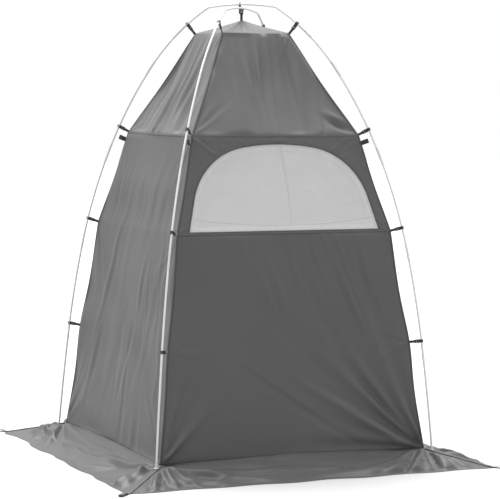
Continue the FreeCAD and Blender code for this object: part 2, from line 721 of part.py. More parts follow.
def clip_hook(label, placement):
    body = new_body(label, placement)
    ring = new_sketch(body, label + "_ring")
    circle(ring, "hook_r")
    pad(body, ring, "hook_h", name="Ring")
    plate = new_sketch(body, label + "_plate")
    box_outline(plate, "0 - clip_plate_end", "0 - 6.5", "0 - clip_plate_half", "clip_plate_half")
    pad(body, plate, "clip_plate_h", name="Plate")
    bore = new_sketch(body, label + "_bore")
    circle(bore, "hook_bore")
    cut_through(body, bore, "Bore")
    mouth = new_sketch(body, label + "_mouth")
    box_outline(mouth, "0 - 3.6", "4.2", "0", "12")
    cut_through(body, mouth, "Mouth")
    slot = new_sketch(body, label + "_slot", "XZ_Plane")
    box_outline(slot, "4.5 - clip_plate_end", "9.0 - clip_plate_end", "0 - 6.7", "6.7")
    cut_through(body, slot, "Slot")
    return body


def clip_strap(label, placement, reach):
    """Webbing folded through the clip's slot, its tail running to the corner seam."""
    body = new_body(label, placement)
    ply = new_sketch(body, label + "_plies")
    inner = "( clip_plate_half + 0.25 )"
    outer = "( clip_plate_half + 0.25 + web )"
    box_outline(ply, "0 - clip_plate_end - 4", "7.6 - clip_plate_end", "0 - " + outer, outer)
    box_outline(ply, "web - clip_plate_end - 4", "7.6 - web - clip_plate_end", "0 - " + inner, inner)
    pad(body, ply, "clip_web_h", name="Loop")
    tail = new_sketch(body, label + "_tail")
    box_outline(tail, "0 - %.3f" % (reach - 3.4), "0.3 - clip_plate_end - 4", "0 - web", "web")
    pad(body, tail, "clip_web_h", name="Tail")
    return body


for name, height in CLIP_HEIGHTS:
    s = s_at_height(height)
    reach = reach_to_shell(s)
    hooks = []
    straps = []
    for corner in range(4):
        place = pole_frame(corner, s, reverse_x=True)
        hooks.append(clip_hook("%s_hook_%d" % (name, corner), place))
        straps.append(clip_strap("%s_strap_%d" % (name, corner), place, reach))
    node(group("%s_clip_hooks" % name, hooks))
    node(group("%s_clip_straps" % name, straps))

# apex hook: over the outer arch, with a ledge under the inner one; X along the outer arch
across = diagonal(3)
OVER = FreeCAD.Placement(V(0, 0, ARCHES[0][2]), FreeCAD.Rotation(across, UP.cross(across), UP, "ZXY"))
apex_hook = new_body("apex_hook", OVER)


def slab(body, name, role, x0, x1, y0, y1, start, length):
    sketch = new_sketch(body, name, role, height=start)
    box_outline(sketch, x0, x1, y0, y1)
    pad(body, sketch, length, both=False, name=name + "_pad")


ring = new_sketch(apex_hook, "apex_ring", "YZ_Plane", height="6")
circle(ring, "hook_r")
pad(apex_hook, ring, "8", both=False, name="Ring")
slab(apex_hook, "shank", "YZ_Plane", "0 - 3", "3", "0 - 46", "0 - 6.5", "6", "8")
slab(apex_hook, "ledge", "YZ_Plane", "0 - 3", "3", "0 - 27.6", "0 - 24.2", "0 - 12", "18.5")
slab(apex_hook, "web_plate", "YZ_Plane", "0 - clip_plate_half", "clip_plate_half", "0 - 46", "0 - 30",
     "0 - 8", "16")
slab(apex_hook, "web_neck", "YZ_Plane", "0 - clip_plate_half", "clip_plate_half", "0 - 31", "0 - 26",
     "0 - 8", "10")
bore = new_sketch(apex_hook, "apex_bore", "YZ_Plane")
circle(bore, "hook_bore")
cut_through(apex_hook, bore, "Bore")
mouth = new_sketch(apex_hook, "apex_mouth", "YZ_Plane")
box_outline(mouth, "0", "12", "0 - 4.2", "3.6")
cut_through(apex_hook, mouth, "Mouth")
slot = new_sketch(apex_hook, "apex_slot", "XZ_Plane")
box_outline(slot, "0 - 5.5", "8.5", "0 - 41.5", "0 - 36.5")
cut_through(apex_hook, slot, "Slot")
node(apex_hook)

apex_strap = new_body("apex_strap", OVER)
inner = "( clip_plate_half + 1.25 )"
outer = "( clip_plate_half + 1.25 + web )"
ply = new_sketch(apex_strap, "apex_plies", "YZ_Plane", height="0 - 5")
box_outline(ply, "0 - " + outer, outer, "0 - 50", "0 - 38")
box_outline(ply, "0 - " + inner, inner, "web - 50", "0 - 38 - web")
pad(apex_strap, ply, "13", both=False, name="Loop")
slab(apex_strap, "apex_tail", "YZ_Plane", "0 - web", "web", "0 - 76.5", "0 - 49.5", "0 - 5", "13")
node(apex_strap)


# ---------------------------------------------------------------- loops, tabs and eyelets
def web_loop(label, placement, root, mouth_at, end, gap, width, role="XY_Plane", start=None):
    """Closed webbing loop with a doubled root; X along the loop, Y across its gap."""
    body = new_body(label, placement)
    ply = new_sketch(body, label + "_plies", role)
    half = "%s / 2" % gap
    box_outline(ply, mouth_at, end, "0 - %s - web" % half, "%s + web" % half)
    box_outline(ply, mouth_at + " + web", end + " - web", "0 - " + half, half)
    pad(body, ply, width, name="Loop")
    if root is not None:
        tail = new_sketch(body, label + "_root", role)
        box_outline(tail, root, mouth_at + " + 0.5", "0 - web", "web")
        pad(body, tail, width, name="Root")
    return body


guy_z = D["shoulder_z"] - 36.0
seam_lean = math.atan2((D["mid_half"] - D["shoulder_half"]) * math.sqrt(2), D["shoulder_z"] - D["mid_z"])
guys = []
pegs = []
for corner, name in enumerate(CORNERS):
    u = diagonal(corner)
    along = u * -math.sin(seam_lean) + UP * math.cos(seam_lean)
    out = u * math.cos(seam_lean) + UP * math.sin(seam_lean)
    spot = u * corner_line(guy_z) + UP * guy_z
    place = FreeCAD.Placement(spot, FreeCAD.Rotation(out, along.cross(out), along, "ZXY"))
    guys.append(web_loop("%s_guy_loop" % name, place, "1.9", "7", "38", "9", "guy_w"))
    ground = FreeCAD.Placement(u * (D["skirt_half"] * math.sqrt(2)), FreeCAD.Rotation(u, UP.cross(u), UP, "ZXY"))
    loop = new_body("%s_peg_loop" % name, ground)
    ply = new_sketch(loop, "%s_peg_plies" % name, "XZ_Plane")
    box_outline(ply, "2", "66", "0", "8.4 + 2 * web")
    box_outline(ply, "2 + web", "66 - web", "web", "8.4 + web")
    pad(loop, ply, "peg_w", name="Loop")
    root = new_sketch(loop, "%s_peg_root" % name, "XZ_Plane")
    box_outline(root, "0 - 6", "2.5", "0", "web")
    pad(loop, root, "peg_w", name="Root")
    pegs.append(loop)
node(group("guy_loops", guys))
node(group("peg_loops", pegs))

ridge_drop = math.atan2(D["base_z"], (D["skirt_half"] - D["base_half"]) * math.sqrt(2))
eyelets = []
tabs = []
strips = []
foot_s = s_at_height(64.0)
foot_d = leg_state(foot_s)[0]
ridge_z = D["base_z"] * (D["skirt_half"] * math.sqrt(2) - foot_d) / (
    (D["skirt_half"] - D["base_half"]) * math.sqrt(2))
for corner, name in enumerate(CORNERS):
    u = diagonal(corner)
    down = u * math.cos(ridge_drop) - UP * math.sin(ridge_drop)
    lift = u * math.sin(ridge_drop) + UP * math.cos(ridge_drop)
    spot = u * foot_d + UP * ridge_z
    place = FreeCAD.Placement(spot, FreeCAD.Rotation(down, lift.cross(down), lift, "ZXY"))
    strip = new_body("%s_skirt_strip" % name, place)
    plan = new_sketch(strip, "%s_strip_plan" % name, height="0.2")
    box_outline(plan, "0 - 36", "316", "0 - 14", "14")
    pad(strip, plan, "0.9", both=False)
    hole = new_sketch(strip, "%s_strip_hole" % name)
    circle(hole, "eyelet_r + 0.2")
    cut_through(strip, hole)
    strips.append(strip)
    tab = new_body("%s_foot_tab" % name, place)
    plan = new_sketch(tab, "%s_tab_plan" % name, height="1.3")
    box_outline(plan, "0 - 36", "15", "0 - 12.5", "12.5")
    pad(tab, plan, "1.4", both=False)
    hole = new_sketch(tab, "%s_tab_hole" % name)
    circle(hole, "eyelet_r + 0.2")
    cut_through(tab, hole)
    tabs.append(tab)
    eyelet = new_body("%s_eyelet" % name, place)
    plan = new_sketch(eyelet, "%s_eyelet_plan" % name, height="0.2")
    circle(plan, "eyelet_r")
    circle(plan, "eyelet_bore")
    pad(eyelet, plan, "2.9", both=False)
    eyelets.append(eyelet)
node(group("skirt_corner_strips", strips))
node(group("foot_tabs", tabs))
node(group("foot_eyelets", eyelets))

hang = FreeCAD.Placement(V(0, 0, D["apex_z"] - 1.7), FreeCAD.Rotation())
shower_loop = new_body("shower_hanging_loop", hang)
ply = new_sketch(shower_loop, "shower_loop_plies", "XZ_Plane")
box_outline(ply, "0 - 20", "20", "0 - 62", "0 - 14")
box_outline(ply, "0 - 20 + web", "20 - web", "0 - 62 + web", "0 - 14 - web")
pad(shower_loop, ply, "24", name="Loop")
root = new_sketch(shower_loop, "shower_loop_root", "XZ_Plane")
box_outline(root, "0 - web", "web", "0 - 14.5", "0")
pad(shower_loop, root, "10", name="Root")
node(shower_loop)

# ---------------------------------------------------------------- recompute, check, export
doc.recompute()
faults = []
for obj in doc.Objects:
    if "Invalid" in obj.State or "Error" in obj.State:
        faults.append("%s: %s" % (obj.Label, obj.State))
for obj in NODES:
    shape = obj.Shape
    if shape.isNull() or not shape.isValid():
        faults.append("%s: shape is null or not valid" % obj.Label)
if faults:
    raise RuntimeError("; ".join(faults))
for obj in NODES:
    obj.Shape.exportStep("parts/%s.step" % obj.Label)
print("nodes", len(NODES))
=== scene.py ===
"""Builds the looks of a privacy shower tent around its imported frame.

The cloth is made panel by panel between the frame's seam levels, with folds that fan out of the
clipped corners; webbing is swept along its real folds; poles, clips and zip keep their frame
shapes and get their finishes here.
"""
import math

import bpy
import numpy as np
from bpy.props import FloatProperty, FloatVectorProperty, PointerProperty
from mathutils import Matrix, Vector


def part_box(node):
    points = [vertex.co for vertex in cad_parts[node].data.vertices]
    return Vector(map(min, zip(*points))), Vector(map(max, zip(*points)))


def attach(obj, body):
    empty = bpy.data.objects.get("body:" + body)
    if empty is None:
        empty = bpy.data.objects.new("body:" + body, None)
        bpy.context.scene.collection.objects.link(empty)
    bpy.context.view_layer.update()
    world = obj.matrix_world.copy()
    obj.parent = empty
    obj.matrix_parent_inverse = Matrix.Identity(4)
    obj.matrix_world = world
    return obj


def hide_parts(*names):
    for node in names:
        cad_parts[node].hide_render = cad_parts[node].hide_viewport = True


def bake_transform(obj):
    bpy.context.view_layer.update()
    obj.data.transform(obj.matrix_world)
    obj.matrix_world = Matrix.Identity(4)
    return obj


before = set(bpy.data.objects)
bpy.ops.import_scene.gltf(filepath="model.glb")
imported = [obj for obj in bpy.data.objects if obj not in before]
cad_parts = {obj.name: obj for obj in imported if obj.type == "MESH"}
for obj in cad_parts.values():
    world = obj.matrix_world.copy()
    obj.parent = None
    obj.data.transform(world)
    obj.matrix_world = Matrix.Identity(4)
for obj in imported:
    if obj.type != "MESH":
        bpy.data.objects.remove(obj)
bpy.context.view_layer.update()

bl_info = {
    "name": "Privacy shower tent",
    "version": (1, 0, 0),
    "blender": (4, 5, 0),
    "location": "3D View > Sidebar > Shower tent",
    "description": "Makes the cloth, webbing, finishes and stage of a privacy shower tent",
    "category": "Add Mesh",
}

TAU = 2.0 * math.pi
SIDES = ("front", "right", "back", "left")
CORNERS = ("front_left", "front_right", "back_right", "back_left")
CORNER_SIGNS = ((-1, -1), (1, -1), (1, 1), (-1, 1))
CLIP_LEVELS = ("low", "mid", "shoulder", "top")


def seam_levels():
    """Heights and half widths of the shell's seams, read from the frame's panels."""
    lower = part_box("front_lower_panel")
    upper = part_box("front_window_panel")
    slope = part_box("roof_slope_front")
    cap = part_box("roof_cap")
    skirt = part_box("skirt_front")
    gap = 0.001
    return {
        "base": (lower[0].z - gap, -lower[0].y + 0.0001),
        "mid": (lower[1].z + gap, upper[1].x + 0.0043),
        "shoulder": (upper[1].z + gap, slope[1].x + 0.0045),
        "top": (slope[1].z + gap, cap[1].x + 0.002),
        "apex": (cap[1].z, 0.006),
        "skirt": (0.0, -skirt[0].y),
    }


LEVELS = seam_levels()
PANEL_LEVELS = ("base", "mid", "shoulder", "top")


# ------------------------------------------------------------------ shapes
def shell_half(z):
    """Half width of the shell at a height, before any sag or pull."""
    heights = [LEVELS[n][0] for n in PANEL_LEVELS]
    halves = [LEVELS[n][1] for n in PANEL_LEVELS]
    return np.interp(z, heights, halves)


def clip_heights():
    """Height at which each level's clips meet the corner seam."""
    heights = {level: LEVELS[level][0] for level in ("mid", "shoulder", "top")}
    heights["low"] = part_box("low_clip_straps")[0].z + STRAP_MIDDLE
    return heights


STRAP_MIDDLE = 0.006
CLIPS = clip_heights()
PULL_OUT = 0.007
PULL_SPREAD = 0.16
DRAWN_IN = (0.003, 0.003, 0.0045, 0.006)


def corner_half(z):
    """Half width along the corner seams: pulled out at the low clip, drawn in between clips."""
    z = np.asarray(z, float)
    half = shell_half(z)
    low = CLIPS["low"]
    half = half + PULL_OUT * np.exp(-((z - low) / PULL_SPREAD) ** 2)
    stops = [LEVELS["base"][0], low, CLIPS["mid"], CLIPS["shoulder"], CLIPS["top"]]
    for start, stop, depth in zip(stops, stops[1:], DRAWN_IN):
        t = np.clip((z - start) / (stop - start), 0, 1)
        half = half - depth * np.sin(math.pi * t) ** 2
    return half


def spin(points, quarter):
    """Turn window-wall coordinates round to another wall."""
    c, s = ((1, 0), (0, 1), (-1, 0), (0, -1))[quarter % 4]
    out = np.array(points, float)
    x, y = out[..., 0].copy(), out[..., 1].copy()
    out[..., 0] = c * x - s * y
    out[..., 1] = s * x + c * y
    return out


def smooth(edge0, edge1, value):
    """0 before the first edge, 1 past the second, with a soft run between."""
    t = np.clip((value - edge0) / (edge1 - edge0), 0, 1)
    return t * t * (3 - 2 * t)


def crease(across, width):
    """One fold's cross-section: a soft ridge with a shallow valley on one side."""
    t = across / width
    return np.exp(-t * t) - 0.45 * np.exp(-((t - 1.5) / 0.9) ** 2)


def fan(x, z, root, first, last, count, depth, reach, seed, start=0.03, fine=0.005):
    """Folds that fan out of a pulled point, between two directions in degrees."""
    rng = np.random.default_rng(seed)
    dx, dz = x - root[0], z - root[1]
    away = np.hypot(dx, dz) + 1e-6
    turn = np.degrees(np.arctan2(dz, dx))
    total = np.zeros_like(x)
    for number in range(count):
        share = (number + 0.5 + rng.uniform(-0.3, 0.3)) / count
        heading = first + (last - first) * share
        length = reach * rng.uniform(0.45, 1.25)
        height = depth * rng.uniform(0.35, 1.0) * (1 if rng.random() < 0.62 else -0.7)
        bow = rng.uniform(-9, 9) * away / reach
        across = np.radians((turn - heading - bow + 180) % 360 - 180) * away
        width = fine + away * rng.uniform(0.035, 0.075)
        rise = smooth(0, start * 2, away) * np.exp(-(away / length) ** 2)
        total += height * rise * crease(across, width)
    return total


def corner_fans(x, z, corner, first, last, count, depth, reach, seed, start=0.03, fine=0.005):
    """The same fan at a right-hand corner and, mirrored, at the left-hand one."""
    half, height = corner
    total = fan(x, z, (half, height), first, last, count, depth, reach, seed, start, fine)
    return total + fan(x, z, (-half, height), 180 - last, 180 - first, count, depth, reach,
                       seed=seed + 1, start=start, fine=fine)


def drapes(x, z, low, high, xs, count, depth, seed, lean=0.0, spread=0.02):
    """Folds that run up and down a panel between two heights."""
    rng = np.random.default_rng(seed)
    total = np.zeros_like(x)
    for number in range(count):
        at = xs[0] + (xs[1] - xs[0]) * (number + 0.5 + rng.uniform(-0.4, 0.4)) / count
        middle = rng.uniform(low, high)
        run = (high - low) * rng.uniform(0.22, 0.6)
        width = spread * rng.uniform(0.5, 1.6)
        height = depth * rng.uniform(0.3, 1.0) * (1 if rng.random() < 0.6 else -0.8)
        tilt = lean + rng.uniform(-0.10, 0.10)
        wander = 0.003 * np.sin(TAU * (z - middle) / rng.uniform(0.7, 1.5) + rng.uniform(0, TAU))
        across = x - at - tilt * (z - middle) - wander
        total += height * np.exp(-((z - middle) / run) ** 2) * crease(across, width)
    return total


RIPPLE_WAVES = 9


def ripple(x, z, size, depth, seed):
    """Low, slow unevenness of slack cloth."""
    rng = np.random.default_rng(seed)
    total = np.zeros_like(x)
    for _ in range(RIPPLE_WAVES):
        heading = rng.uniform(0, math.pi)
        length = size * rng.uniform(0.6, 1.8)
        phase = rng.uniform(0, TAU)
        wave = TAU * (x * math.cos(heading) + z * math.sin(heading)) / length + phase
        total += depth / 4 * np.sin(wave + 0.8 * np.sin(0.6 * wave + phase))
    return total


# ------------------------------------------------------------------ meshes
def settle(points, faces, name, layers=None):
    """A mesh object from points and faces, with optional named UV layers."""
    mesh = bpy.data.meshes.new(name)
    mesh.from_pydata([tuple(p) for p in points], [], [tuple(f) for f in faces])
    mesh.validate()
    for layer_name, values in (layers or {}).items():
        layer = mesh.uv_layers.new(name=layer_name)
        loops = np.zeros(len(mesh.loops), np.int32)
        mesh.loops.foreach_get("vertex_index", loops)
        layer.data.foreach_set("uv", np.asarray(values, np.float32)[loops].ravel())
    mesh.polygons.foreach_set("use_smooth", np.ones(len(mesh.polygons), bool))
    mesh.update()
    obj = bpy.data.objects.new(name, mesh)
    bpy.context.scene.collection.objects.link(obj)
    return obj


def grid_normals(points):
    """Unit normals of a grid of points."""
    du = np.gradient(points, axis=1)
    dv = np.gradient(points, axis=0)
    normal = np.cross(du, dv)
    length = np.linalg.norm(normal, axis=2, keepdims=True)
    return normal / np.maximum(length, 1e-12)


def cloth_panel(name, points, flat, edges, thickness=0.0007, keep=None, wrap=False):
    """Closed thin cloth from a grid of points.

    flat holds each point's place on the flat cut, edges its distance to the side and level seams.
    keep masks the grid's cells; wrap joins the last column to the first.
    """
    rows, cols = points.shape[:2]
    normal = grid_normals(points)
    if wrap:
        joined = np.concatenate([points[:, -1:], points, points[:, :1]], axis=1)
        normal = grid_normals(joined)[:, 1:-1]
    front = points.reshape(-1, 3)
    back = (points - normal * thickness).reshape(-1, 3)
    index = np.arange(rows * cols).reshape(rows, cols)
    if wrap:
        index = np.concatenate([index, index[:, :1]], axis=1)
    a, b = index[:-1, :-1].ravel(), index[:-1, 1:].ravel()
    c, d = index[1:, 1:].ravel(), index[1:, :-1].ravel()
    cells = np.stack([a, b, c, d], axis=1)
    if keep is not None:
        cells = cells[keep.ravel()]
    total = rows * cols
    faces = [tuple(f) for f in cells] + [tuple(f[::-1] + total) for f in cells]
    seen = {}
    for cell in cells:
        for i in range(4):
            p, q = int(cell[i]), int(cell[(i + 1) % 4])
            if (q, p) in seen:
                del seen[(q, p)]
            else:
                seen[(p, q)] = True
    faces += [(q, p, p + total, q + total) for p, q in seen]
    used = np.zeros(total * 2, bool)
    for face in faces:
        used[list(face)] = True
    renumber = np.cumsum(used) - 1
    faces = [tuple(int(renumber[i]) for i in face) for face in faces]
    every = np.concatenate([front, back])[used]
    uv_flat = np.concatenate([flat.reshape(-1, 2)] * 2)[used]
    uv_edge = np.concatenate([edges.reshape(-1, 2)] * 2)[used]
    return settle(every, faces, name, {"cut": uv_flat, "seam": uv_edge})


def tube_faces(count, around):
    """Faces of a closed tube of rings, with a flat end at each side."""
    faces = []
    for i in range(count - 1):
        for k in range(around):
            m = (k + 1) % around
            faces.append((i * around + k, i * around + m, (i + 1) * around + m,
                          (i + 1) * around + k))
    faces.append(tuple(range(around))[::-1])
    faces.append(tuple((count - 1) * around + k for k in range(around)))
    return faces


def web_strip(name, path, across, width, thickness):
    """Flat webbing swept along a path; across is the direction of its width."""
    path = np.asarray(path, float)
    count = len(path)
    across = np.broadcast_to(np.asarray(across, float), path.shape)
    along = np.gradient(path, axis=0)
    along /= np.linalg.norm(along, axis=1, keepdims=True)
    side = across - along * np.sum(across * along, axis=1, keepdims=True)
    side /= np.linalg.norm(side, axis=1, keepdims=True)
    lift = np.cross(along, side)
    w, t = width / 2, thickness / 2
    profile = [(-w, -t * 0.4), (-w + t, -t), (-w / 3, -t), (w / 3, -t), (w - t, -t), (w, -t * 0.4),
               (w, t * 0.4), (w - t, t), (w / 3, t), (-w / 3, t), (-w + t, t), (-w, t * 0.4)]
    around = len(profile)
    points = []
    uvs = []
    steps = np.concatenate([[0], np.cumsum(np.linalg.norm(np.diff(path, axis=0), axis=1))])
    for i in range(count):
        for p, q in profile:
            points.append(path[i] + side[i] * p + lift[i] * q)
            uvs.append((steps[i], p + w))
    return settle(points, tube_faces(count, around), name, {"cut": uvs})


def joined(name, pieces):
    """Join several objects into one piece."""
    bpy.ops.object.select_all(action="DESELECT")
    for piece in pieces:
        piece.select_set(True)
    bpy.context.view_layer.objects.active = pieces[0]
    bpy.ops.object.join()
    pieces[0].name = name
    pieces[0].data.name = name
    return pieces[0]


def rounded(points, radius, steps=5):
    """Path through points with its corners rounded to arcs."""
    points = [np.asarray(p, float) for p in points]
    out = [points[0]]
    for before, at, after in zip(points, points[1:], points[2:]):
        a, b = before - at, after - at
        la, lb = np.linalg.norm(a), np.linalg.norm(b)
        cut = min(radius, la * 0.48, lb * 0.48)
        p, q = at + a / la * cut, at + b / lb * cut
        for i in range(steps + 1):
            t = i / steps
            out.append((1 - t) ** 2 * p + 2 * t * (1 - t) * at + t * t * q)
    out.append(points[-1])
    return out


def dense(points, step):
    """Resample a path at an even step."""
    points = np.asarray(points, float)
    run = np.concatenate([[0], np.cumsum(np.linalg.norm(np.diff(points, axis=0), axis=1))])
    count = max(2, int(math.ceil(run[-1] / step)) + 1)
    at = np.linspace(0, run[-1], count)
    return np.stack([np.interp(at, run, points[:, k]) for k in range(3)], axis=1)


# ------------------------------------------------------------------ finishes
class Finish:
    """Small helper that wires one procedural material."""

    def __init__(self, name, colour, rough, metal=0.0, specular=0.5):
        self.material = bpy.data.materials.new(name)
        self.material.use_nodes = True
        self.tree = self.material.node_tree
        self.shader = self.tree.nodes["Principled BSDF"]
        self.shader.inputs["Base Color"].default_value = (*colour, 1)
        self.shader.inputs["Roughness"].default_value = rough
        self.shader.inputs["Metallic"].default_value = metal
        self.shader.inputs["Specular IOR Level"].default_value = specular
        self.colour = colour
        self.heights = []

    def node(self, kind, **values):
        made = self.tree.nodes.new(kind)
        for key, value in values.items():
            if key in made.inputs:
                made.inputs[key].default_value = value
            else:
                setattr(made, key, value)
        return made

    def link(self, source, target):
        """Join one node's output to another's input."""
        self.tree.links.new(source, target)

    def place(self, layer=None):
        """Where on the piece: a named flat layer, or the piece's own space."""
        if layer is None:
            return self.node("ShaderNodeTexCoord").outputs["Object"]
        return self.node("ShaderNodeUVMap", uv_map=layer).outputs["UV"]

    def noise(self, scale, detail=2.0, layer=None, rough=0.5):
        made = self.node("ShaderNodeTexNoise", Scale=scale, Detail=detail, Roughness=rough)
        self.link(self.place(layer), made.inputs["Vector"])
        return made.outputs["Fac"]

    def bands(self, scale, direction, layer=None):
        made = self.node("ShaderNodeTexWave", Scale=scale, Distortion=0.0,
                         bands_direction=direction)
        self.link(self.place(layer), made.inputs["Vector"])
        return made.outputs["Fac"]

    def math(self, operation, first, second=None):
        made = self.node("ShaderNodeMath", operation=operation)
        for socket, value in zip(made.inputs, (first, second)):
            if value is None:
                continue
            if isinstance(value, (int, float)):
                socket.default_value = value
            else:
                self.link(value, socket)
        return made.outputs[0]

    def span(self, value, low, high, to_low, to_high):
        """A value's run from low to high, made to run between two others."""
        made = self.node("ShaderNodeMapRange")
        self.link(value, made.inputs[0])
        for socket, number in zip(made.inputs[1:5], (low, high, to_low, to_high)):
            socket.default_value = number
        return made.outputs[0]

    def tint(self, value, low, high):
        """Base colour runs between two multiples of the finish's colour."""
        ramp = self.node("ShaderNodeValToRGB")
        ramp.color_ramp.elements[0].color = (*[c * low for c in self.colour], 1)
        ramp.color_ramp.elements[1].color = (*[min(1, c * high) for c in self.colour], 1)
        self.link(value, ramp.inputs[0])
        return ramp.outputs[0]

    def mix(self, factor, first, second):
        made = self.node("ShaderNodeMix", data_type="RGBA")
        self.link(factor, made.inputs["Factor"])
        self.link(first, made.inputs["A"])
        if isinstance(second, tuple):
            made.inputs["B"].default_value = (*second, 1)
        else:
            self.link(second, made.inputs["B"])
        return made.outputs["Result"]

    def base(self, socket):
        self.link(socket, self.shader.inputs["Base Color"])

    def relief(self, height, strength, distance):
        """Adds a layer of fine height over the ones before it."""
        made = self.node("ShaderNodeBump", Strength=strength, Distance=distance)
        self.link(height, made.inputs["Height"])
        if self.heights:
            self.link(self.heights[-1], made.inputs["Normal"])
        self.heights.append(made.outputs["Normal"])
        self.link(made.outputs["Normal"], self.shader.inputs["Normal"])


FINISHES = {}
WEAVE = 0.05 / 0.0011
CLOTH_GLOSS = 0.22
STITCH_IN = 0.0075
STITCH_HALF = 0.0007
STITCH_STEP = 0.0045
STITCH_SHARE = 0.68


def shared(make):
    """Makes a finish once under its name, and gives it again to the next piece that asks."""
    def finish(name, *values, **options):
        if name not in FINISHES:
            FINISHES[name] = make(name, *values, **options)
        return FINISHES[name]
    return finish


def crease_shade_mask(made, aside=0.03, sway=0.010, turns=11.0, foot_up=0.038, foot_bow=0.16,
                  half=0.005):
    """Painted shade along the creases where the cloth was folded away: one crease down the middle,
    one bowed across the foot.
    """
    spot = made.node("ShaderNodeSeparateXYZ")
    made.link(made.place("cut"), spot.inputs[0])
    across, up = spot.outputs[0], spot.outputs[1]
    bend = made.math("MULTIPLY", made.math("SINE", made.math("MULTIPLY", up, turns)), sway)
    off = made.math("ABSOLUTE", made.math("SUBTRACT", made.math("SUBTRACT", across, aside), bend))
    rise = made.math("MULTIPLY", made.math("MULTIPLY", across, across), foot_bow)
    foot = made.math("ABSOLUTE", made.math("SUBTRACT", made.math("SUBTRACT", up, foot_up), rise))
    line = made.math("MINIMUM", off, foot)
    # noise that breaks the painted crease shade into uneven patches
    uneven_noise = made.noise(7.0, 3.0, "cut")
    return made.math("MULTIPLY", made.span(line, 0.0, half, 1.0, 0.0),
                     made.span(uneven_noise, 0.35, 0.55, 0.4, 1.0))


@shared
def cloth_finish(name, colour, rough=0.5, sheen=0.05, stitches=True, blotch=0.10, hem=None,
                 painted_crease_shade=False):
    """Coated plain-weave polyester: fine weave, soft unevenness and a stitched hem line."""
    made = Finish(name, colour, rough, specular=CLOTH_GLOSS)
    made.shader.inputs["Sheen Weight"].default_value = sheen
    made.shader.inputs["Sheen Roughness"].default_value = 0.45
    patch = made.noise(2.2, 4.0, rough=0.6)
    colours = made.tint(patch, 1 - blotch, 1 + blotch)
    warp = made.bands(WEAVE, "X", "cut")
    weft = made.bands(WEAVE, "Y", "cut")
    weave = made.math("ADD", warp, weft)
    fine = made.noise(170.0, 2.0, "cut")
    if stitches:
        split = made.node("ShaderNodeSeparateXYZ")
        made.link(made.place("seam"), split.inputs[0])
        cut = made.node("ShaderNodeSeparateXYZ")
        made.link(made.place("cut"), cut.inputs[0])
        rows = []
        for edge, along in ((split.outputs[0], cut.outputs[1]), (split.outputs[1], cut.outputs[0])):
            off = made.math("ABSOLUTE", made.math("SUBTRACT", edge, STITCH_IN))
            line = made.math("LESS_THAN", off, STITCH_HALF)
            step = made.math("FRACT", made.math("DIVIDE", along, STITCH_STEP))
            dash = made.math("LESS_THAN", step, STITCH_SHARE)
            rows.append(made.math("MULTIPLY", line, dash))
        thread_mask = made.math("MAXIMUM", rows[0], rows[1])
        colours = made.mix(thread_mask, colours, tuple(c * 0.55 for c in colour))
        if hem:
            band = made.math("LESS_THAN", split.outputs[0], hem)
            colours = made.mix(band, colours, tuple(min(1.0, c * 1.13) for c in colour))
        made.relief(thread_mask, 0.35, 0.0006)
    # painted shade: the creases are darkened to 0.76 of the colour, with a matching bump
    if painted_crease_shade:
        shade = crease_shade_mask(made)
        colours = made.mix(shade, colours, tuple(c * 0.76 for c in colour))
        made.relief(shade, 0.6, 0.002)
    made.base(colours)
    made.relief(weave, 0.10, 0.0002)
    made.relief(fine, 0.12, 0.0006)
    made.link(made.span(patch, 0.3, 0.7, rough - 0.05, rough + 0.06),
              made.shader.inputs["Roughness"])
    return made.material


@shared
def webbing_finish(name, colour):
    """Ribbed narrow webbing."""
    made = Finish(name, colour, 0.72, specular=0.3)
    made.shader.inputs["Sheen Weight"].default_value = 0.3
    ribs = made.bands(70.0, "X", "cut")
    twill = made.bands(120.0, "DIAGONAL", "cut")
    uneven_noise = made.noise(90.0, 3.0, "cut")
    made.base(made.tint(uneven_noise, 0.7, 1.5))
    made.relief(ribs, 0.5, 0.0004)
    made.relief(twill, 0.25, 0.0002)
    return made.material


@shared
def plastic_finish(name, colour, rough=0.42):
    """Moulded plastic with a light grain and rubbed patches."""
    made = Finish(name, colour, rough, specular=0.5)
    grain = made.noise(900.0, 2.0)
    rub = made.noise(60.0, 3.0)
    made.base(made.tint(rub, 0.8, 1.35))
    made.link(made.span(rub, 0.3, 0.7, rough - 0.08, rough + 0.1), made.shader.inputs["Roughness"])
    made.relief(grain, 0.15, 0.0002)
    return made.material


@shared
def pole_finish(name, colour):
    """Glass-filled pole: satin skin with faint streaks and dust."""
    made = Finish(name, colour, 0.34, specular=0.5)
    made.shader.inputs["Coat Weight"].default_value = 0.25
    made.shader.inputs["Coat Roughness"].default_value = 0.2
    fibre = made.noise(260.0, 4.0)
    dust = made.noise(11.0, 3.0)
    made.base(made.tint(dust, 0.9, 1.08))
    made.link(made.span(fibre, 0.2, 0.8, 0.26, 0.42), made.shader.inputs["Roughness"])
    made.relief(fibre, 0.08, 0.0002)
    return made.material


@shared
def metal_finish(name, colour, rough=0.3, scale=420.0):
    """Drawn or cast metal with fine scratches."""
    made = Finish(name, colour, rough, metal=0.9)
    scratch = made.noise(scale, 5.0)
    tarnish = made.noise(40.0, 2.0)
    made.base(made.tint(tarnish, 0.85, 1.08))
    made.link(made.span(scratch, 0.3, 0.7, rough - 0.08, rough + 0.12),
              made.shader.inputs["Roughness"])
    made.relief(scratch, 0.08, 0.0001)
    return made.material


@shared
def coil_finish(name, colour):
    """Zip tape with its coil's teeth."""
    made = Finish(name, colour, 0.55, specular=0.4)
    teeth = made.bands(180.0, "X", "cut")
    tape = made.noise(240.0, 2.0, "cut")
    made.base(made.tint(tape, 0.7, 1.4))
    made.relief(teeth, 0.6, 0.0006)
    return made.material


def coat(obj, material):
    """Give a piece one material."""
    obj.data.materials.clear()
    obj.data.materials.append(material)
    for polygon in obj.data.polygons:
        polygon.material_index = 0
    return obj


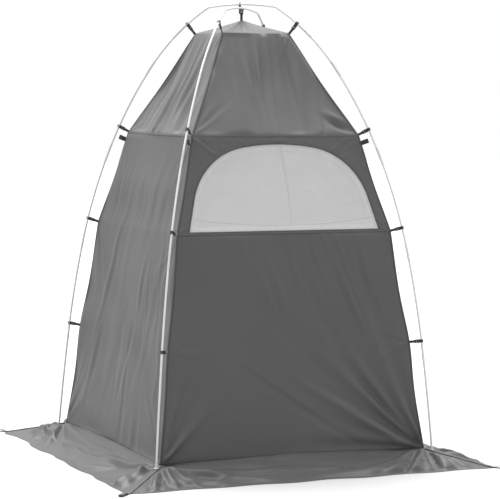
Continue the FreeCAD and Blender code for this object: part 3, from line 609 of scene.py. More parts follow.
def finish_nodes(names, material):
    """Give frame nodes that keep their shape a finish."""
    for name in names:
        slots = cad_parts[name].data.materials
        if not slots:
            slots.append(material)
        for number in range(len(slots)):
            slots[number] = material


# ------------------------------------------------------------------ the shell's surfaces
HEM_RISE = 0.010
CLOTH = 0.0007
SEAM_TAPE = 0.0012


def wall_point(x, z, hold=4):
    """Points of the window wall at rest; a larger hold leaves the corner seams more steeply."""
    half = corner_half(z)
    edge = np.clip(np.abs(x) / half, 0, 1) ** hold
    y = -(half * edge + shell_half(z) * (1 - edge))
    return np.stack([x, y, z + 0 * x], axis=-1)


def hem_height(u):
    """Height of the walls' lower edge, a little higher between the corners."""
    return LEVELS["base"][0] + HEM_RISE * (1 - np.clip(u, -1, 1) ** 2) ** 2


def panel_area(low, high):
    """Flat area of one wall's trapezium between two levels."""
    (z0, h0), (z1, h1) = LEVELS[low], LEVELS[high]
    return (h0 + h1) * math.hypot(z1 - z0, h1 - h0)


def wall_area():
    """Flat area of a whole wall, hem to shoulder."""
    return panel_area("base", "mid") + panel_area("mid", "shoulder")


def slope_length(*names):
    """Length up the slope through the named levels."""
    spots = [LEVELS[n] for n in names]
    return sum(math.hypot(b[0] - a[0], b[1] - a[1]) for a, b in zip(spots, spots[1:]))


def laid(rest, folds, side, level, pinned=0.03):
    """Rest surface pushed in and out by its folds, which die away at the seams."""
    held = smooth(0, pinned, side) * smooth(0, pinned * 0.8, level)
    return rest + grid_normals(rest) * (folds * held)[..., None]


def wall_cloth(name, quarter, low, high, folds, cell=0.009):
    """One wall or roof panel from seam to seam."""
    z0, z1 = LEVELS[low][0], LEVELS[high][0]
    cols = int(2 * LEVELS[low][1] / cell)
    rows = int(math.hypot(z1 - z0, LEVELS[high][1] - LEVELS[low][1]) / cell)
    u, t = np.meshgrid(np.linspace(-1, 1, cols), np.linspace(0, 1, rows))
    foot = hem_height(u) if low == "base" else z0 + 0 * u
    z = foot + (z1 - foot) * t
    half = corner_half(z)
    x = u * half
    side, level = (1 - np.abs(u)) * half, np.minimum(z - foot, z1 - z)
    points = laid(wall_point(x, z), folds(x, z, u, t), side, level)
    flat, edges = np.stack([x, z], axis=-1), np.stack([side, level], axis=-1)
    return cloth_panel(name, spin(points, quarter), flat, edges, CLOTH)


def declare(piece, slot, nodes, body="tent", **sheet):
    """Rides the piece on its body and hides the nodes it stands for; slot and the sheet's sizes are
    not used.
    """
    if body:
        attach(piece, body)
    if nodes:
        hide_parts(*nodes)
    return piece


def settings():
    """The cloth, hardware and stage settings."""
    scene = bpy.context.scene
    return scene.tent_cloth, scene.tent_hardware, scene.tent_stage


def wall_finish():
    """The coated cloth of the walls, which its seams and the window binding share."""
    return cloth_finish("wall_cloth", tuple(settings()[0].wall_colour))


# ------------------------------------------------------------------ folds, panel by panel
FRONT_SLACK = 1.2
WALL_BELLY = 0.008
SIDE_BELLY = 0.010
ROOF_BELLY = 0.012


def sag(u, t, depth):
    """How far a panel lies in between its corners."""
    return depth * (1 - u * u) * np.sin(math.pi * t)


def front_folds(x, z, u, t):
    """Tight folds from the foot corners and the low clips, and slack ones under the window."""
    base, sill = LEVELS["base"], LEVELS["mid"][0]
    right, left = (base[1], base[0]), (-base[1], base[0])
    d = fan(x, z, right, 98, 150, count=14, depth=0.0100, reach=0.85, seed=21)
    d += fan(x, z, right, 150, 174, count=8, depth=0.0090, reach=0.50, seed=22)
    d += fan(x, z, left, 38, 88, count=10, depth=0.0100, reach=0.34, seed=23)
    d += fan(x, z, (corner_half(CLIPS["low"]), CLIPS["low"]), 150, 215, count=5, depth=0.003,
             reach=0.2, seed=24)
    d += fan(x, z, (-corner_half(CLIPS["low"]), CLIPS["low"]), -35, 35, count=5, depth=0.003,
             reach=0.2, seed=25)
    d += drapes(x, z, sill - 0.38, sill - 0.06, (-0.12, 0.56), count=14, depth=0.0068, seed=26,
                lean=-0.34, spread=0.015)
    d += drapes(x, z, sill - 0.25, sill - 0.05, (-0.52, -0.1), count=8, depth=0.0040, seed=27,
                lean=0.02, spread=0.014)
    d += drapes(x * 0.5 + z, x * 0.9, -0.1, 0.45, (0.22, 0.42), count=4, depth=0.0060, seed=28,
                lean=-0.1, spread=0.014)
    return d + ripple(x, z, size=0.7, depth=0.004, seed=29) - sag(u, t, WALL_BELLY)


def side_folds(seed, strength):
    """Long soft drapes of a plain side wall; +x is the wall's right seen from outside."""
    def folds(x, z, u, t):
        base, mid, top = LEVELS["base"], LEVELS["mid"], LEVELS["shoulder"]
        d = drapes(x, z, 0.25, 0.9, (-0.5, 0.45), count=8, depth=0.0042, seed=seed, lean=0.22,
                   spread=0.036)
        d += drapes(x, z, 1.05, 1.4, (-0.42, 0.30), count=7, depth=0.0030, seed=seed + 1, lean=0.16,
                    spread=0.028)
        d += drapes(x, z, 0.5, 1.35, (0.18, 0.60), count=10, depth=0.0017, seed=seed + 2,
                    lean=-0.09, spread=0.009)
        d += drapes(x, z, 0.10, 0.5, (-0.1, 0.6), count=7, depth=0.0032, seed=seed + 10, lean=-0.06,
                    spread=0.018)
        d += corner_fans(x, z, base[::-1], 96, 150, count=6, depth=0.0045, reach=0.36,
                         seed=seed + 3)
        d += corner_fans(x, z, mid[::-1], 215, 262, count=5, depth=0.0026, reach=0.34,
                         seed=seed + 5)
        d += corner_fans(x, z, top[::-1], 215, 262, count=5, depth=0.0022, reach=0.24,
                         seed=seed + 7)
        d += ripple(x, z, size=0.6, depth=0.010, seed=seed + 9)
        return strength * d - sag(u, t, SIDE_BELLY)
    return folds


def clip_tuck(x, z, seam, inset=0.095, above=0.052, depth=0.017, reach=0.055, slope=0.40,
              width=0.020):
    """The one gathered tuck in the front roof, above its right-hand clip."""
    run, rise = x - (seam[1] - inset), z - (seam[0] + above)
    return depth * np.exp(-(run / reach) ** 2) * crease(rise + slope * run, width)


def roof_folds(seed, strength, corner_fold):
    """Folds that hang down a roof slope; the front one has a tuck over its right-hand clip."""
    def folds(x, z, u, t):
        low, top = LEVELS["shoulder"], LEVELS["top"]
        d = drapes(x, z, low[0] + 0.10, top[0] - 0.04, (-0.26, 0.26), count=8, depth=0.0150,
                   seed=seed, spread=0.026)
        d += drapes(x, z, low[0] + 0.05, top[0], (-0.32, 0.32), count=10, depth=0.0042,
                    seed=seed + 6, spread=0.011)
        d += fan(x, z, (low[1], low[0]), 112, 160, count=5, depth=0.0045, reach=0.20, seed=seed + 1)
        d += fan(x, z, (-low[1], low[0]), 20, 68, count=5, depth=0.0040, reach=0.20, seed=seed + 2)
        d += corner_fans(x, z, top[::-1], 240, 275, count=4, depth=0.0030, reach=0.12,
                         seed=seed + 3)
        if corner_fold:
            d -= clip_tuck(x, z, low)
        d += ripple(x, z, size=0.35, depth=0.007, seed=seed + 5)
        return strength * d - sag(u, t, ROOF_BELLY)
    return folds


# ------------------------------------------------------------------ window
SHOULDER_R = 0.330
CROWN_R = 1.080
WINDOW_LEAN = math.radians(14.5)
NET_LAP = 0.009
NET_THICK = 0.0009
WINDOW_SILL = 0.010
WINDOW_HEART = np.array([0.0, 0.17])
SEAM_MARGIN = 0.010
SEAM_ALLOWANCE = 0.0085
LEVEL_EDGES = 2.0
WINDOW_EDGE = 2.4
RIM_PUCKER = 0.05


def window_sizes():
    """Slope of the window wall, and the window's half width and height up that slope."""
    (z0, h0), (z1, h1) = LEVELS["mid"], LEVELS["shoulder"]
    slope = math.atan2(h0 - h1, z1 - z0)
    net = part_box("window_mesh")
    half = net[1].x - NET_LAP * (1 + math.sin(WINDOW_LEAN)) / math.cos(WINDOW_LEAN)
    span = (net[1].z - net[0].z - NET_THICK * math.sin(slope)) / math.cos(slope)
    return slope, half, span - 2 * NET_LAP + WINDOW_SILL


WALL_SLOPE, WINDOW_HALF, WINDOW_TALL = window_sizes()


def window_curve(grow=0.0, step=0.003):
    """The window's D as a closed run of points (across, up the wall), counter-clockwise."""
    lean = WINDOW_LEAN
    w, tall = WINDOW_HALF + grow / math.cos(lean), WINDOW_TALL + grow
    r1, r2 = SHOULDER_R + grow, CROWN_R + grow
    side = np.array([-math.sin(lean), math.cos(lean)])
    inward = np.array([-math.cos(lean), -math.sin(lean)])
    foot, crown = np.array([w, WINDOW_SILL]), np.array([0, tall - r2])
    offset = foot + inward * r1 - crown
    b = offset @ side
    s = -b + math.sqrt(b * b - offset @ offset + (r2 - r1) ** 2)
    centre = foot + side * s + inward * r1
    low = foot - side * (grow / side[1])
    start = math.atan2(-inward[1], -inward[0])
    stop = math.atan2(centre[1] - crown[1], centre[0] - crown[0])
    right = [low, foot + side * s]
    for angle in np.linspace(start, stop, 60)[1:]:
        right.append(centre + r1 * np.array([math.cos(angle), math.sin(angle)]))
    for angle in np.linspace(stop, math.pi / 2, 40)[1:]:
        right.append(crown + r2 * np.array([math.cos(angle), math.sin(angle)]))
    right = np.array(right)
    loop = np.concatenate([right, (right * (-1, 1))[::-1][1:], right[:1]])
    flat = dense(np.concatenate([loop, np.zeros((len(loop), 1))], axis=1), step)[:, :2]
    corners = np.array([low, low * (-1, 1)])
    for corner in corners:
        flat[np.argmin(np.hypot(*(flat - corner).T))] = corner
    flat[0] = flat[-1] = low
    return flat


def on_window(x, up, depth):
    """Point at a depth behind the window wall's outer face."""
    s, c = math.sin(WALL_SLOPE), math.cos(WALL_SLOPE)
    z0, h0 = LEVELS["mid"]
    return np.stack([x + 0 * up, -h0 + up * s + depth * c, z0 - 0.001 + up * c - depth * s],
                    axis=-1)


def polar(points, centre):
    """Radius of a closed outline as a function of heading."""
    d = points - centre
    angle, radius = np.arctan2(d[:, 1], d[:, 0]), np.hypot(d[:, 0], d[:, 1])
    order = np.argsort(angle)
    return angle[order], radius[order]


def ray_length(outline, centre, angles):
    """How far the outline lies from the centre at each heading."""
    angle, radius = polar(outline, centre)
    return np.interp(angles, angle, radius, period=TAU)


def window_wall():
    """The wall cloth round the window, as rays from the window's rim to the seams."""
    z0, z1 = LEVELS["mid"][0], LEVELS["shoulder"][0]
    c = math.cos(WALL_SLOPE)
    up = np.linspace(z0, z1, 70)
    side = np.stack([corner_half(up), (up - z0) / c], axis=1)
    low = np.stack([np.linspace(-side[0, 0], side[0, 0], 150), np.zeros(150)], axis=1)
    top = np.stack([np.linspace(side[-1, 0], -side[-1, 0], 120), np.full(120, side[-1, 1])], axis=1)
    rim = np.concatenate([low, side[1:], top[1:], (side * (-1, 1))[::-1][1:-1]])
    centre = WINDOW_HEART
    fine = window_curve(0.0, 0.001)
    corners = [fine[0], fine[np.argmin(np.hypot(*(fine - fine[0] * (-1, 1)).T))]]
    angles = np.arctan2(*(rim - centre).T[::-1])
    extra = [math.atan2(p[1] - centre[1], p[0] - centre[0]) for p in corners]
    angles = np.unique(np.concatenate([angles, extra]))
    loop = np.concatenate([rim, rim[:1]])
    loop = dense(np.c_[loop, np.zeros(len(loop))], 0.0008)[:, :2]
    outer = ray_length(loop, centre, angles)
    inner = ray_length(fine, centre, angles)
    t = np.linspace(0, 1, 15)[:, None]
    radius = outer * (1 - t) + inner * t
    x = centre[0] + radius * np.cos(angles)
    rise = centre[1] + radius * np.sin(angles)
    z = z0 + rise * c
    rest = wall_point(x, z, 14)
    to_rim, to_hole = (outer - inner) * t, (outer - inner) * (1 - t)
    folds = corner_fans(x, z, (LEVELS["shoulder"][1], z1), 185, 262, count=8, depth=0.0036,
                        reach=0.16, seed=41, start=0.012)
    folds += corner_fans(x, z, (LEVELS["mid"][1], z0), 96, 168, count=6, depth=0.0030, reach=0.14,
                         seed=43, start=0.012)
    rng = np.random.default_rng(45)
    for start, stop in ((0.55, 1.15), (2.0, 2.6)):
        for heading in np.linspace(start, stop, 9):
            heading = heading + rng.uniform(-0.03, 0.03)
            lean = rng.uniform(-0.5, 0.5)
            off = (angles - heading)[None, :] * radius + lean * (radius - inner)
            depth, width = rng.uniform(0.0010, 0.0026), rng.uniform(0.006, 0.011)
            folds = folds + depth * crease(off, width) * np.exp(-(to_hole / RIM_PUCKER) ** 2)
    folds = folds + ripple(x, z, size=0.12, depth=0.0016, seed=46)
    held = smooth(0, 0.02, to_rim) * smooth(0.002, 0.016, to_hole)
    normal = np.array([0, -c, math.sin(WALL_SLOPE)])
    points = rest + normal * (np.abs(folds) * held)[..., None] * settings()[0].fold_depth
    flat = np.stack([x, rise], axis=-1)
    edges = np.stack([np.minimum(to_rim, to_hole), to_hole + 0.03], axis=-1)
    return cloth_panel("window_wall_cloth", points, flat, edges, CLOTH, wrap=True)


def window_area(grow=0.0):
    """Area inside the window's outline."""
    p = window_curve(grow)
    return abs(np.sum(p[:-1, 0] * p[1:, 1] - p[1:, 0] * p[:-1, 1])) / 2


def window_sheet(name, grow, depth, folds, thickness, line_at):
    """A D-shaped cloth behind the window, row by row from sill to crown."""
    outline = window_curve(grow, 0.001)
    low, tall = outline[:, 1].min(), outline[:, 1].max()
    t = np.sin(np.linspace(0, 1, 64) * math.pi / 2 * 0.985)[:, None]
    up = low + (tall - low) * t
    right = outline[outline[:, 0] >= 0]
    right = right[np.argsort(right[:, 1], kind="stable")]
    level = right[right[:, 1] > low + 1e-5]
    half = np.interp(up, level[:, 1], level[:, 0])
    u = np.linspace(-1, 1, 130)[None, :]
    x, rise = u * half, up + 0 * u
    spots = np.stack([x, rise], axis=-1)
    near = np.full(x.shape, 9.0)
    for p in outline[::6]:
        near = np.minimum(near, np.hypot(x - p[0], rise - p[1]))
    move = folds(x, rise, u, near)
    points = on_window(x, rise, depth + move)
    edges = np.stack([near - line_at, near * 0 + 0.05], axis=-1)
    return cloth_panel(name, points, spots, edges, thickness)


def net_folds(x, up, u, near):
    """The net is held tight, with a trace of unevenness."""
    waves = 0.0004 * np.sin(x * 31) * np.sin(up * 17) * smooth(0.01, 0.06, near)
    return waves - 0.0006 * smooth(0, 0.2, near)


def blind_folds(x, up, u, near):
    """The blind hangs slightly slack behind the net, with fold marks; least slack near its sill."""
    mark = 0.0045 * crease(x - 0.02 - 0.012 * np.sin(up * 9), 0.008) + 0.003
    slack = 0.0045 * smooth(0.02, 0.2, near) + np.abs(ripple(x, up, size=0.3, depth=0.008, seed=61))
    slack = slack + 0.0040 * np.abs(crease(up - 0.055 - 0.03 * u * u, 0.014))
    slack = slack + 0.0035 * np.abs(fan(x, up, (-0.46, 0.01), 10, 80, count=5, depth=1.0,
                                        reach=0.16, seed=62))
    room = 0.0008 + 0.042 * np.maximum(up, 0)
    return np.minimum(slack + mark, room) * smooth(0.012, 0.05, near)


def net_finish(colour):
    """Fine knitted net, seen through."""
    made = Finish("window_net", colour, 0.7, specular=0.2)
    made.shader.inputs["Alpha"].default_value = 0.22
    threads = made.math("MAXIMUM", made.bands(160.0, "X", "cut"), made.bands(160.0, "Y", "cut"))
    made.base(made.tint(made.noise(300.0, 2.0, "cut"), 0.9, 1.1))
    made.relief(threads, 0.3, 0.0003)
    return made.material


def window_band(name, outer, inner, depth, thickness):
    """A flat band that follows the window's rim."""
    centre = WINDOW_HEART
    angles = np.sort(np.arctan2(*(window_curve() - centre).T[::-1]))
    angles = np.unique(np.round(angles, 6))
    big = ray_length(window_curve(outer, 0.001), centre, angles)
    small = ray_length(window_curve(inner, 0.001), centre, angles)
    share = np.array([0, 0.06, 0.3, 0.7, 0.94, 1.0])[:, None]
    lift = np.array([0.6, 0.1, 0, 0, 0.1, 0.6])[:, None] * thickness
    radius = big * (1 - share) + small * share
    x = radius * np.cos(angles)
    rise = centre[1] + radius * np.sin(angles)
    points = on_window(x, rise, depth + lift)
    run = np.concatenate([[0], np.cumsum(np.hypot(np.diff(x[2]), np.diff(rise[2])))])
    flat = np.stack([run[None, :] + 0 * x, share * (outer - inner) + 0 * x], axis=-1)
    gap = np.minimum(share, 1 - share) * (outer - inner) + 0 * x
    return cloth_panel(name, points, flat, np.stack([gap + 0.0055, gap * 0 + 0.03], axis=-1),
                       thickness, wrap=True)


# ------------------------------------------------------------------ door wall
DOOR_HALF = 0.310
DOOR_QUARTER = 2
DOOR_BELLY = 0.004
ZIP_TAPE = 0.018
ZIP_GAP = 0.0013
ZIP_END = -0.289
ZIP_PROUD = (0, -0.0008, 0)


def doorway():
    """Lower and upper heights of the doorway, from the wall's half of the zip."""
    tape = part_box("door_zip_wall_tape")
    return tape[0].z, tape[1].z - ZIP_TAPE


def zoned(*stops):
    """Evenly divided runs between stops, given as (stop, cells in the run up to it)."""
    out = [stops[0][0]]
    for (start, _), (stop, cells) in zip(stops, stops[1:]):
        out += [start + (stop - start) * (i + 1) / cells for i in range(cells)]
    return np.array(out)


def door_wall():
    """The back wall as one cloth with its doorway left open."""
    low, high = doorway()
    base, mid, top = LEVELS["base"][0], LEVELS["mid"][0], LEVELS["shoulder"][0]
    across = zoned((-2.0, 0), (-1.0, 30), (1.0, 56), (2.0, 30))
    rise = zoned((0.0, 0), (1.0, 4), (2.0, 96), (3.0, 34), (4.0, 12))
    a, r = np.meshgrid(across, rise)
    first = np.abs(a) - 1
    foot = hem_height(np.where(first > 0, np.sign(a) * (0.45 + 0.55 * first), a * 0.45))
    stops = [foot, low + 0 * a, mid + 0 * a, high + 0 * a, top + 0 * a]
    z = foot.copy()
    for i in range(4):
        share = np.clip(r - i, 0, 1)
        z = np.where(r > i, stops[i] + (stops[i + 1] - stops[i]) * share, z)
    half = corner_half(z)
    x = np.where(first > 0, np.sign(a) * (DOOR_HALF + (half - DOOR_HALF) * first), a * DOOR_HALF)
    side = half - np.abs(x)
    level = np.minimum(z - foot, top - z)
    from_door = np.hypot(np.maximum(np.abs(x) - DOOR_HALF, 0),
                         np.maximum(np.maximum(low - z, z - high), 0))
    folds = side_folds(71, 0.75)(x, z, x / half, (z - base) / (top - base))
    folds = folds * smooth(0.0, 0.09, from_door) * settings()[0].fold_depth
    points = laid(wall_point(x, z, 4), folds, side, level)
    middle_col = (np.abs(across[:-1] + across[1:]) / 2 < 1)[None, :]
    middle_row = ((rise[:-1] + rise[1:]) / 2 > 1)[:, None] & ((rise[:-1] + rise[1:]) / 2 < 3)[:,
                                                                                              None]
    flat, edges = np.stack([x, z], axis=-1), np.stack([side, level], axis=-1)
    return cloth_panel("door_wall_cloth", spin(points, DOOR_QUARTER), flat, edges, CLOTH,
                       keep=~(middle_col & middle_row))


def door_cloth():
    """The door, shut, in line with its wall."""
    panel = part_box("door_panel")
    low, high, free = panel[0].z, panel[1].z, -panel[0].x
    xs = np.linspace(-DOOR_HALF, free, 70)
    zs = zoned((low, 0), (LEVELS["mid"][0], 100), (high, 34))
    x, z = np.meshgrid(xs, zs)
    side = np.minimum(x + DOOR_HALF, free - x)
    level = np.minimum(z - low, high - z)
    folds = drapes(x, z, 0.3, 1.2, (-0.26, 0.26), count=9, depth=0.0050, seed=81, lean=0.03,
                   spread=0.02)
    folds += ripple(x, z, size=0.4, depth=0.006, seed=82)
    inward = -DOOR_BELLY * np.sin(math.pi * (x + DOOR_HALF) / (free + DOOR_HALF))
    points = laid(wall_point(x, z, 4), folds * settings()[0].fold_depth + inward, side, level, 0.05)
    flat, edges = np.stack([x, z], axis=-1), np.stack([side, level], axis=-1)
    return cloth_panel("door_cloth", spin(points, DOOR_QUARTER), flat, edges, CLOTH)


COIL_STEP = 0.0005
COIL_WIDE = 0.0011
COIL_TALL = 0.0006
COIL_LIFT = 0.0007


def zip_run(name, spots, across, width, coil_at):
    """Zip tape with half a coil along one edge; across is the direction of the tape's width."""
    across = np.asarray(across, float)
    tape = web_strip(name + "_tape", spots, across, width, 0.0008)
    path = dense(np.asarray(spots) + across * coil_at, COIL_STEP)
    ring = 6
    run = np.arange(len(path))
    along = np.gradient(path, axis=0)
    along /= np.linalg.norm(along, axis=1, keepdims=True)
    wide = across - along * (along @ across)[:, None]
    wide /= np.linalg.norm(wide, axis=1, keepdims=True)
    proud = np.cross(along, wide)
    proud *= np.sign(proud[:, 1:2]) * (1 if np.mean(path[:, 1]) > 0 else -1)
    swell = 0.62 + 0.38 * np.abs(np.sin(run * math.pi / 4))
    points, uvs = [], []
    for i in range(len(path)):
        for k in range(ring):
            angle = TAU * k / ring
            spot = wide[i] * math.cos(angle) * COIL_WIDE
            spot = spot + proud[i] * (math.sin(angle) * COIL_TALL + COIL_LIFT)
            points.append(path[i] + spot * swell[i])
            uvs.append((i * COIL_STEP, k * 0.001))
    coil = settle(points, tube_faces(len(path), ring), name + "_coil", {"cut": uvs})
    return [tape, coil]


def zip_pieces():
    """The zip's wall half and door half, each an upright and a level run."""
    low, high = doorway()
    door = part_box("door_zip_door_tape")
    split = DOOR_HALF - 0.004
    tape, gap = ZIP_TAPE, ZIP_GAP
    wall_x, door_x = split + gap + tape / 2, split - gap - tape / 2
    wall_top, door_top = door[1].z + 2 * gap + tape / 2, door[1].z - tape / 2

    def upright(x, z0, z1):
        z = zoned((z0, 0), (LEVELS["mid"][0], 40), (z1, 16))
        return spin(wall_point(np.full(len(z), x), z) + ZIP_PROUD, DOOR_QUARTER)

    def crossing(z, x0, x1):
        x = np.linspace(x0, x1, 24)
        return spin(wall_point(x, np.full(len(x), z)) + ZIP_PROUD, DOOR_QUARTER)

    level_across = spin(np.array([0.0, math.sin(WALL_SLOPE), math.cos(WALL_SLOPE)]), DOOR_QUARTER)
    wall_run = crossing(wall_top, ZIP_END, wall_x - tape / 2)
    door_run = crossing(door_top, ZIP_END, door_x - tape / 2)
    wall = zip_run("wall_side", upright(wall_x, low, high + tape), (1, 0, 0), tape, tape / 2)
    wall += zip_run("wall_level", wall_run, level_across, tape, -tape / 2)
    leaf = zip_run("door_side", upright(door_x, door[0].z, door_top + tape / 2), (1, 0, 0), tape,
                   -tape / 2)
    leaf += zip_run("door_level", door_run, level_across, tape, tape / 2)
    return joined("zip_wall_half", wall), joined("zip_door_half", leaf)


# ------------------------------------------------------------------ skirt
POLE_CLEAR = 0.0112
SKIRT_LEAST = 0.0011
SKIRT_WAVES = 9
SKIRT_GRID = (200, 46)
CORNER_CROWDING = 1.2


def eyelet_spot():
    """Distance from the middle and height of the eyelets round the poles."""
    points = node_points("foot_eyelets")
    mine = points[(points[:, 0] > 0) & (points[:, 1] > 0)]
    d = (mine[:, 0] + mine[:, 1]) / math.sqrt(2)
    return (d.min() + d.max()) / 2, (mine[:, 2].min() + mine[:, 2].max()) / 2


def node_points(name):
    """A frame node's mesh points in the shared frame."""
    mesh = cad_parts[name].data
    out = np.zeros(len(mesh.vertices) * 3)
    mesh.vertices.foreach_get("co", out)
    matrix = np.array(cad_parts[name].matrix_world)
    return out.reshape(-1, 3) @ matrix[:3, :3].T + matrix[:3, 3]


def skirt_cloth(name, quarter, seed):
    """One skirt: sewn to the hem, pulled up to the pole feet at its corners, laid on the ground."""
    base_half = LEVELS["base"][1]
    edge = LEVELS["skirt"][1]
    spread = np.sin(np.linspace(-1, 1, SKIRT_GRID[0]) * CORNER_CROWDING) / math.sin(CORNER_CROWDING)
    u, v = np.meshgrid(spread, np.linspace(0, 1, SKIRT_GRID[1]))
    root = hem_height(u)
    outward = 1 - v
    half = base_half + (edge - base_half) * outward
    x, out = u * half, (edge - base_half) * outward
    tuck = np.where(v > 0.999, 1.0, 0.0)
    side = (1 - np.abs(u)) * half
    ridge = 1 - smooth(0.014, 0.24, side)
    fall = ridge * v + (1 - ridge) * v ** 2.0
    z = root * fall
    depth = settings()[0].fold_depth
    d = corner_fans(x, out, (base_half, 0), 58, 176, count=12, depth=0.030, reach=0.62, seed=seed,
                    start=0.05, fine=0.013)
    d += 0.7 * drapes(out * 2.2, x, -0.6, 0.6, (0.05, 0.5), count=5, depth=0.016, seed=seed + 2,
                      lean=0.02, spread=0.040)
    d += ripple(x * 0.45, out, size=0.20, depth=0.013, seed=seed + 3)
    held = smooth(0.012, 0.085, side) * smooth(0, 0.03, (edge - base_half) - out)
    rise = np.maximum(d, -0.35 * d) * held * depth
    free = 0.35 + 0.65 * smooth(0.0, 0.5, out / (edge - base_half))
    z = np.maximum(z + rise * free, SKIRT_LEAST)
    rng = np.random.default_rng(seed + 4)
    wave = np.zeros_like(x)
    for _ in range(SKIRT_WAVES):
        wave += 0.0026 * np.sin(TAU * x / rng.uniform(0.17, 0.6) + rng.uniform(0, TAU))
    y = -(base_half + out) + wave * smooth(0, 0.08, side) * outward ** 2
    spot = eyelet_spot()[0] / math.sqrt(2)
    for sign in (1, -1):
        dx, dy = sign * x - spot, y + spot
        along, off = (dx - dy) / math.sqrt(2), -(dx + dy) / math.sqrt(2)
        near = along ** 2 + off ** 2 < POLE_CLEAR ** 2
        reach = np.sqrt(np.maximum(POLE_CLEAR ** 2 - along ** 2, 0))
        push = np.where(near, reach - off, 0) / math.sqrt(2)
        x, y = x - sign * push, y - push
    points = np.stack([x * (1 - 0.003 * tuck), y + 0.0018 * tuck, z + 0.004 * tuck], axis=-1)
    edges = np.stack([side, np.minimum(out + 0.001, edge - base_half - out)], axis=-1)
    return cloth_panel(name, spin(points, quarter), np.stack([x, out], axis=-1), edges, CLOTH)


# ------------------------------------------------------------------ tapes and webbing
def corner_tape(name, quarter):
    """Binding folded over a corner seam from the hem to the roof cap."""
    zs = zoned((LEVELS["base"][0] + 0.001, 0), (CLIPS["low"], 40), (LEVELS["mid"][0], 40),
               (LEVELS["shoulder"][0], 36), (LEVELS["top"][0] - 0.001, 40))
    half = corner_half(zs)
    leg, proud = 0.0085, SEAM_TAPE
    profile = [(-proud, leg), (-proud, leg * 0.55), (-proud, 0.0012), (-proud * 0.7, -proud * 0.7),
               (0.0012, -proud), (leg * 0.55, -proud), (leg, -proud)]
    points = np.array([[(-h + dx, -h + dy, z) for dx, dy in profile] for h, z in zip(half, zs)])
    run = np.array([0, leg * 0.45, leg, leg + 0.001, leg + 0.002, leg * 1.55 + 0.002,
                    leg * 2 + 0.002])
    flat = np.stack([run[None, :] + 0 * zs[:, None], zs[:, None] + 0 * run[None, :]], axis=-1)
    edge = np.minimum(run, run[-1] - run)[None, :] + 0 * zs[:, None] + 0.0055
    edges = np.stack([edge, edge * 0 + 0.03], axis=-1)
    return cloth_panel(name, spin(points, quarter), flat, edges, 0.0009)


def level_seam(name, quarter, level, width=0.009, drop=-0.001):
    """Felled seam along one level of the shell."""
    z, half = LEVELS[level][0] + drop, float(corner_half(LEVELS[level][0]))
    x = np.linspace(-half + 0.002, half - 0.002, 90)
    path = wall_point(x, np.full(len(x), z)) + (0, -0.0006, 0)
    path[:, 2] += 0.0007 * np.sin(x * 23 + quarter)
    across = spin(np.array([0.0, math.sin(WALL_SLOPE), math.cos(WALL_SLOPE)]), quarter)
    return web_strip(name, spin(path, quarter), across, width, SEAM_TAPE)


def corner_axes(node, corner):
    """Frame of one corner's copy of a part, in the upright plane through that corner."""
    sx, sy = CORNER_SIGNS[corner]
    points = node_points(node)
    mine = points[(points[:, 0] * sx > 0) & (points[:, 1] * sy > 0)]
    out = np.array([sx, sy, 0.0]) / math.sqrt(2)
    plane = np.stack([mine @ out, mine[:, 2]], axis=1)
    spread = np.linalg.eigh(np.cov((plane - plane.mean(0)).T))[1]
    axis = spread[:, 1] * (1 if spread[0, 1] > 0 else -1)
    perp = np.array([-axis[1], axis[0]])
    a, p = plane @ axis, plane @ perp
    return out, axis, perp, (a.min(), a.max()), (p.min(), p.max())


def corner_place(axes, along, side, tangent=0.0):
    """Point at a distance along the part's axis, across it and sideways of its plane."""
    out, axis, perp = axes[:3]
    flat = axis * along + perp * side
    sideways = np.array([-out[1], out[0], 0.0])
    return out * flat[0] + np.array([0, 0, flat[1]]) + sideways * tangent


def across_of(axes):
    """Direction across the part, in the plane of its corner."""
    out, _, perp = axes[:3]
    return out * perp[0] + np.array([0, 0, perp[1]])


SEWN_PLY = 0.0008


def strap_piece(level):
    """Webbing folded through each clip's slot and sewn into the corner seam."""
    straps = []
    for corner in range(4):
        axes = corner_axes(level + "_clip_straps", corner)
        (start, stop), (low, high) = axes[3], axes[4]
        side, ply = (low + high) / 2, 0.00285
        near, mouth = stop - 0.0006, stop - 0.0112
        root = start - 0.0035
        spots = [(root, SEWN_PLY), (mouth - 0.006, SEWN_PLY), (mouth, ply), (near, ply),
                 (near, -ply),
                 (mouth, -ply), (mouth - 0.006, -SEWN_PLY), (root, -SEWN_PLY)]
        path = rounded([corner_place(axes, a, side, t) for a, t in spots], 0.0022)
        straps.append(web_strip("strap", path, across_of(axes), high - low - 0.0004, 0.0011))
    return joined(level + "_clip_webbing", straps)


def guy_piece():
    """The four guy loops, folded and sewn into the corner seams."""
    loops = []
    for corner in range(4):
        axes = corner_axes("guy_loops", corner)
        (start, stop), (low, high) = axes[3], axes[4]
        side, ply = (low + high) / 2, 0.0051
        root, mouth, neck, end = start - 0.004, start + 0.012, start + 0.004, stop - 0.0007
        spots = [(root, SEWN_PLY), (neck, SEWN_PLY), (mouth, ply), (end, ply),
                 (end, -ply), (mouth, -ply), (neck, -SEWN_PLY), (root, -SEWN_PLY)]
        path = rounded([corner_place(axes, a, side, t) for a, t in spots], 0.0045)
        loops.append(web_strip("guy", path, across_of(axes), high - low - 0.0006, 0.0012))
    return joined("guy_loop_webbing", loops)


